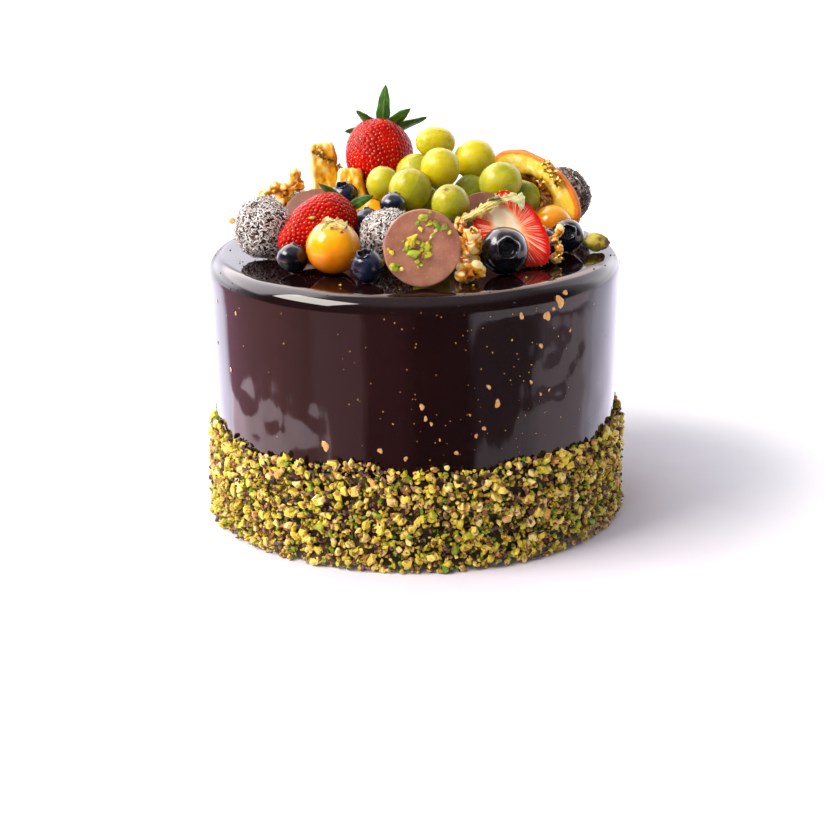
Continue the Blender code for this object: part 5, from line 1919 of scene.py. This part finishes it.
def makeCrunch():
    cragHeight, cragPitch = crunch["crag"]
    fineHeight, finePitch = crunch["fine"]
    for number, (node, name) in enumerate(crunch["nodes"].items()):
        helper = addObject("helper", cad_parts[node].data.copy())
        remesh = helper.modifiers.new("even", "REMESH")
        remesh.mode = "VOXEL"
        remesh.voxel_size = crunch["voxel"] * mm
        even = helper.evaluated_get(bpy.context.evaluated_depsgraph_get()).to_mesh()
        verts = np.empty(len(even.vertices) * 3)
        even.vertices.foreach_get("co", verts)
        verts = verts.reshape(-1, 3) / mm
        faces = [tuple(p.vertices) for p in even.polygons]
        bpy.data.objects.remove(helper)
        normals = outward(verts, faces)
        crag = np.clip(ripples(verts, cragPitch, 700 + number), -1.2, 1.2)
        fine = np.minimum(np.abs(ripples(verts, finePitch, 710 + number)), 0.8)
        swell = cragHeight * crag + fineHeight * fine - 0.5
        verts = verts + normals * swell[:, None]
        verts[:, 2] = np.maximum(verts[:, 2], crunch["lowest"])
        # painted light and shade mask: high on the humps, low in the clefts
        cleft = np.clip(0.25 + 0.22 * crag + 0.6 * fine, 0, 1) - 0.3
        makePiece(name, verts, faces, [caramelisedNut], (node,), {"cleft": cleft})


makeCrunch()
print("crunch is broken up")


# whole pistachio and loose crumbs

looseNuts = {
    "kernel": ((78.8, -11.2, 120.4), (5.6, 4.0, 3.9), (0.25, 0.0, 1.0)),  # centre, size, axis
    "rows": 30,
    "steps": 44,
    "shapes": 12,
    "onFruit": ((-42.0, -34.6, 3.6, 136.0), (-77.6, -14.0, 4.6, 130.4)),  # (x, y, size, height)
    # crumbs on the glazed top: (x, y, size)
    "crumbs": ((-29.9, -68.8, 1.6), (-77.0, 24.0, 2.4), (24.0, -71.5, 1.5),
               (61.0, -45.0, 1.2), (-60.0, 62.0, 1.8), (8.0, 75.0, 2.0), (-74.0, -24.0, 1.0),
               (46.0, -58.5, 1.1), (-6.0, -77.0, 0.9), (-45.0, 69.0, 1.4), (74.0, 22.0, 1.5)),
}
wholePistachio = nutMaterial("wholePistachioKernel", (
    (0.0, "#4a2620"), (0.28, "#6e4f22"), (0.42, "#978a20"), (0.7, "#c2ae30"),
    (1.0, "#dccb62")), "#7a4a2c", 0.5)


def makeLooseNuts():
    centre, size, axis = looseNuts["kernel"]
    verts, faces = lathe(ballProfile(looseNuts["rows"]), looseNuts["steps"])[:2]
    verts *= (1 + 0.07 * ripples(verts, 0.9, 81) + 0.03 * ripples(verts, 0.35, 82))[:, None]
    groove = np.exp(-((verts[:, 1]) / 0.16) ** 2) * (verts[:, 2] > 0)
    verts *= (1 - 0.10 * groove)[:, None]
    # painted light and shade: the kernel is painted paler on its left side and darker on its right
    tones = 0.62 - 0.5 * verts[:, 0] + 0.16 * ripples(verts, 0.8, 83)
    verts = (verts * size) @ turnTo(axis).T + centre
    makePiece("wholePistachio", verts, faces, [wholePistachio], ("pistachio_right",),
              {"tone": tones})
    dice = np.random.default_rng(84)
    placed = []
    onGlaze = [(*row, drum["height"]) for row in looseNuts["crumbs"]]
    for x, y, each, height in onGlaze + [*looseNuts["onFruit"]]:
        shape = dice.integers(0, looseNuts["shapes"])
        turn = tangentTurn((0, 0, 1), dice, each * np.array([1.1, 0.8, 0.7]), 0.3)
        placed.append((shape, np.array([x, y, height + each * 0.28]), turn, randomTone(dice, 0.5, 0.25)))
    shapes = chippedShapes(looseNuts["shapes"], 16, 85, 0.8)
    scatterPiece("looseCrumbs", shapes, placed, [pistachioChunk])


makeLooseNuts()
print("loose nuts are dropped")


# gold leaf

goldLeaf = {
    "cells": 9,
    "thick": 0.12,
    # (centre, normal, size) of each torn scrap
    "scraps": (
        ((-42.2, 29.4, 153.6), (-0.1, -0.95, 0.3), 4.6), ((-40.0, 29.6, 151.6), (0.1, -0.95, 0.3), 3.6),
        ((-36.6, 29.8, 149.4), (0.0, -0.95, 0.3), 3.2), ((-32.8, 30.6, 146.6), (0.2, -0.9, 0.3), 2.4),
        ((60.6, 14.6, 146.4), (-0.55, -0.75, 0.3), 5.2), ((63.6, 12.4, 142.0), (-0.5, -0.8, 0.3), 4.2),
        ((56.8, 17.6, 141.4), (-0.6, -0.75, 0.1), 3.6), ((58.6, 15.8, 149.8), (-0.5, -0.7, 0.5), 3.6),
        ((59.6, -38.4, 126.4), (0.0, -0.95, 0.3), 3.2), ((60.6, -38.6, 119.6), (0.0, -0.95, 0.3), 3.4),
        ((-29.0, -58.6, 135.6), (0.1, -0.8, 0.6), 1.6), ((24.0, -60.2, 136.4), (0.0, -0.95, 0.3), 2.6)),
}


def goldLeafMaterial():
    # beaten gold leaf, torn and creased: dark and bright facets painted side by side into its colour as
    # painted reflection
    mat, add = newMaterial("beatenGoldLeaf", {"Metallic": 0.8, "Roughness": 0.28})
    grain = add("TexNoise", {"pitch": 1.6, "Detail": 3.0})
    # painted reflection: dark and bright patches stand for the facets' reflections
    tone = add("ValToRGB", {"Fac": grain, "stops": (
        (0.38, "#6b4a12"), (0.5, "#c08a2a"), (0.62, "#f0cc78"))})
    return finish(mat, tone, (grain, 0.6, 0.0004))


beatenGold = goldLeafMaterial()


def makeGoldLeaf():
    dice = np.random.default_rng(91)
    cells = goldLeaf["cells"]
    verts, faces = [], []
    for centre, normal, size in goldLeaf["scraps"]:
        w = unit(normal)
        u = unit(np.cross(w, dice.normal(size=3)))
        v = np.cross(w, u)
        grid = np.zeros((cells, cells, 3))
        wave = dice.uniform(0, 6, 3)
        for i in range(cells):
            for j in range(cells):
                a, b = i / (cells - 1) * 2 - 1, j / (cells - 1) * 2 - 1
                edge = max(abs(a), abs(b))
                tear = 1 + 0.30 * math.sin(4 * math.atan2(b, a) + wave[0]) * edge
                tear += 0.18 * dice.normal() * edge
                x, y = a * tear * size * 0.5, b * tear * size * 0.36
                crease = 0.35 * math.sin(x * 2.1 + wave[1]) * math.sin(y * 2.6 + wave[2])
                crease += 0.12 * dice.normal()
                grid[i, j] = np.array(centre) + u * x + v * y + w * (0.35 + crease)
        both, more = sheet(grid, w * -goldLeaf["thick"])
        faces += [tuple(len(verts) + i for i in f) for f in more]
        verts.extend(both)
    makePiece("goldLeafScraps", np.array(verts), faces, [beatenGold], smooth=False)


makeGoldLeaf()
print("gold leaf is laid on")

print("pieces", len(pieces), "faces", sum(len(p.data.polygons) for p in pieces.values()))
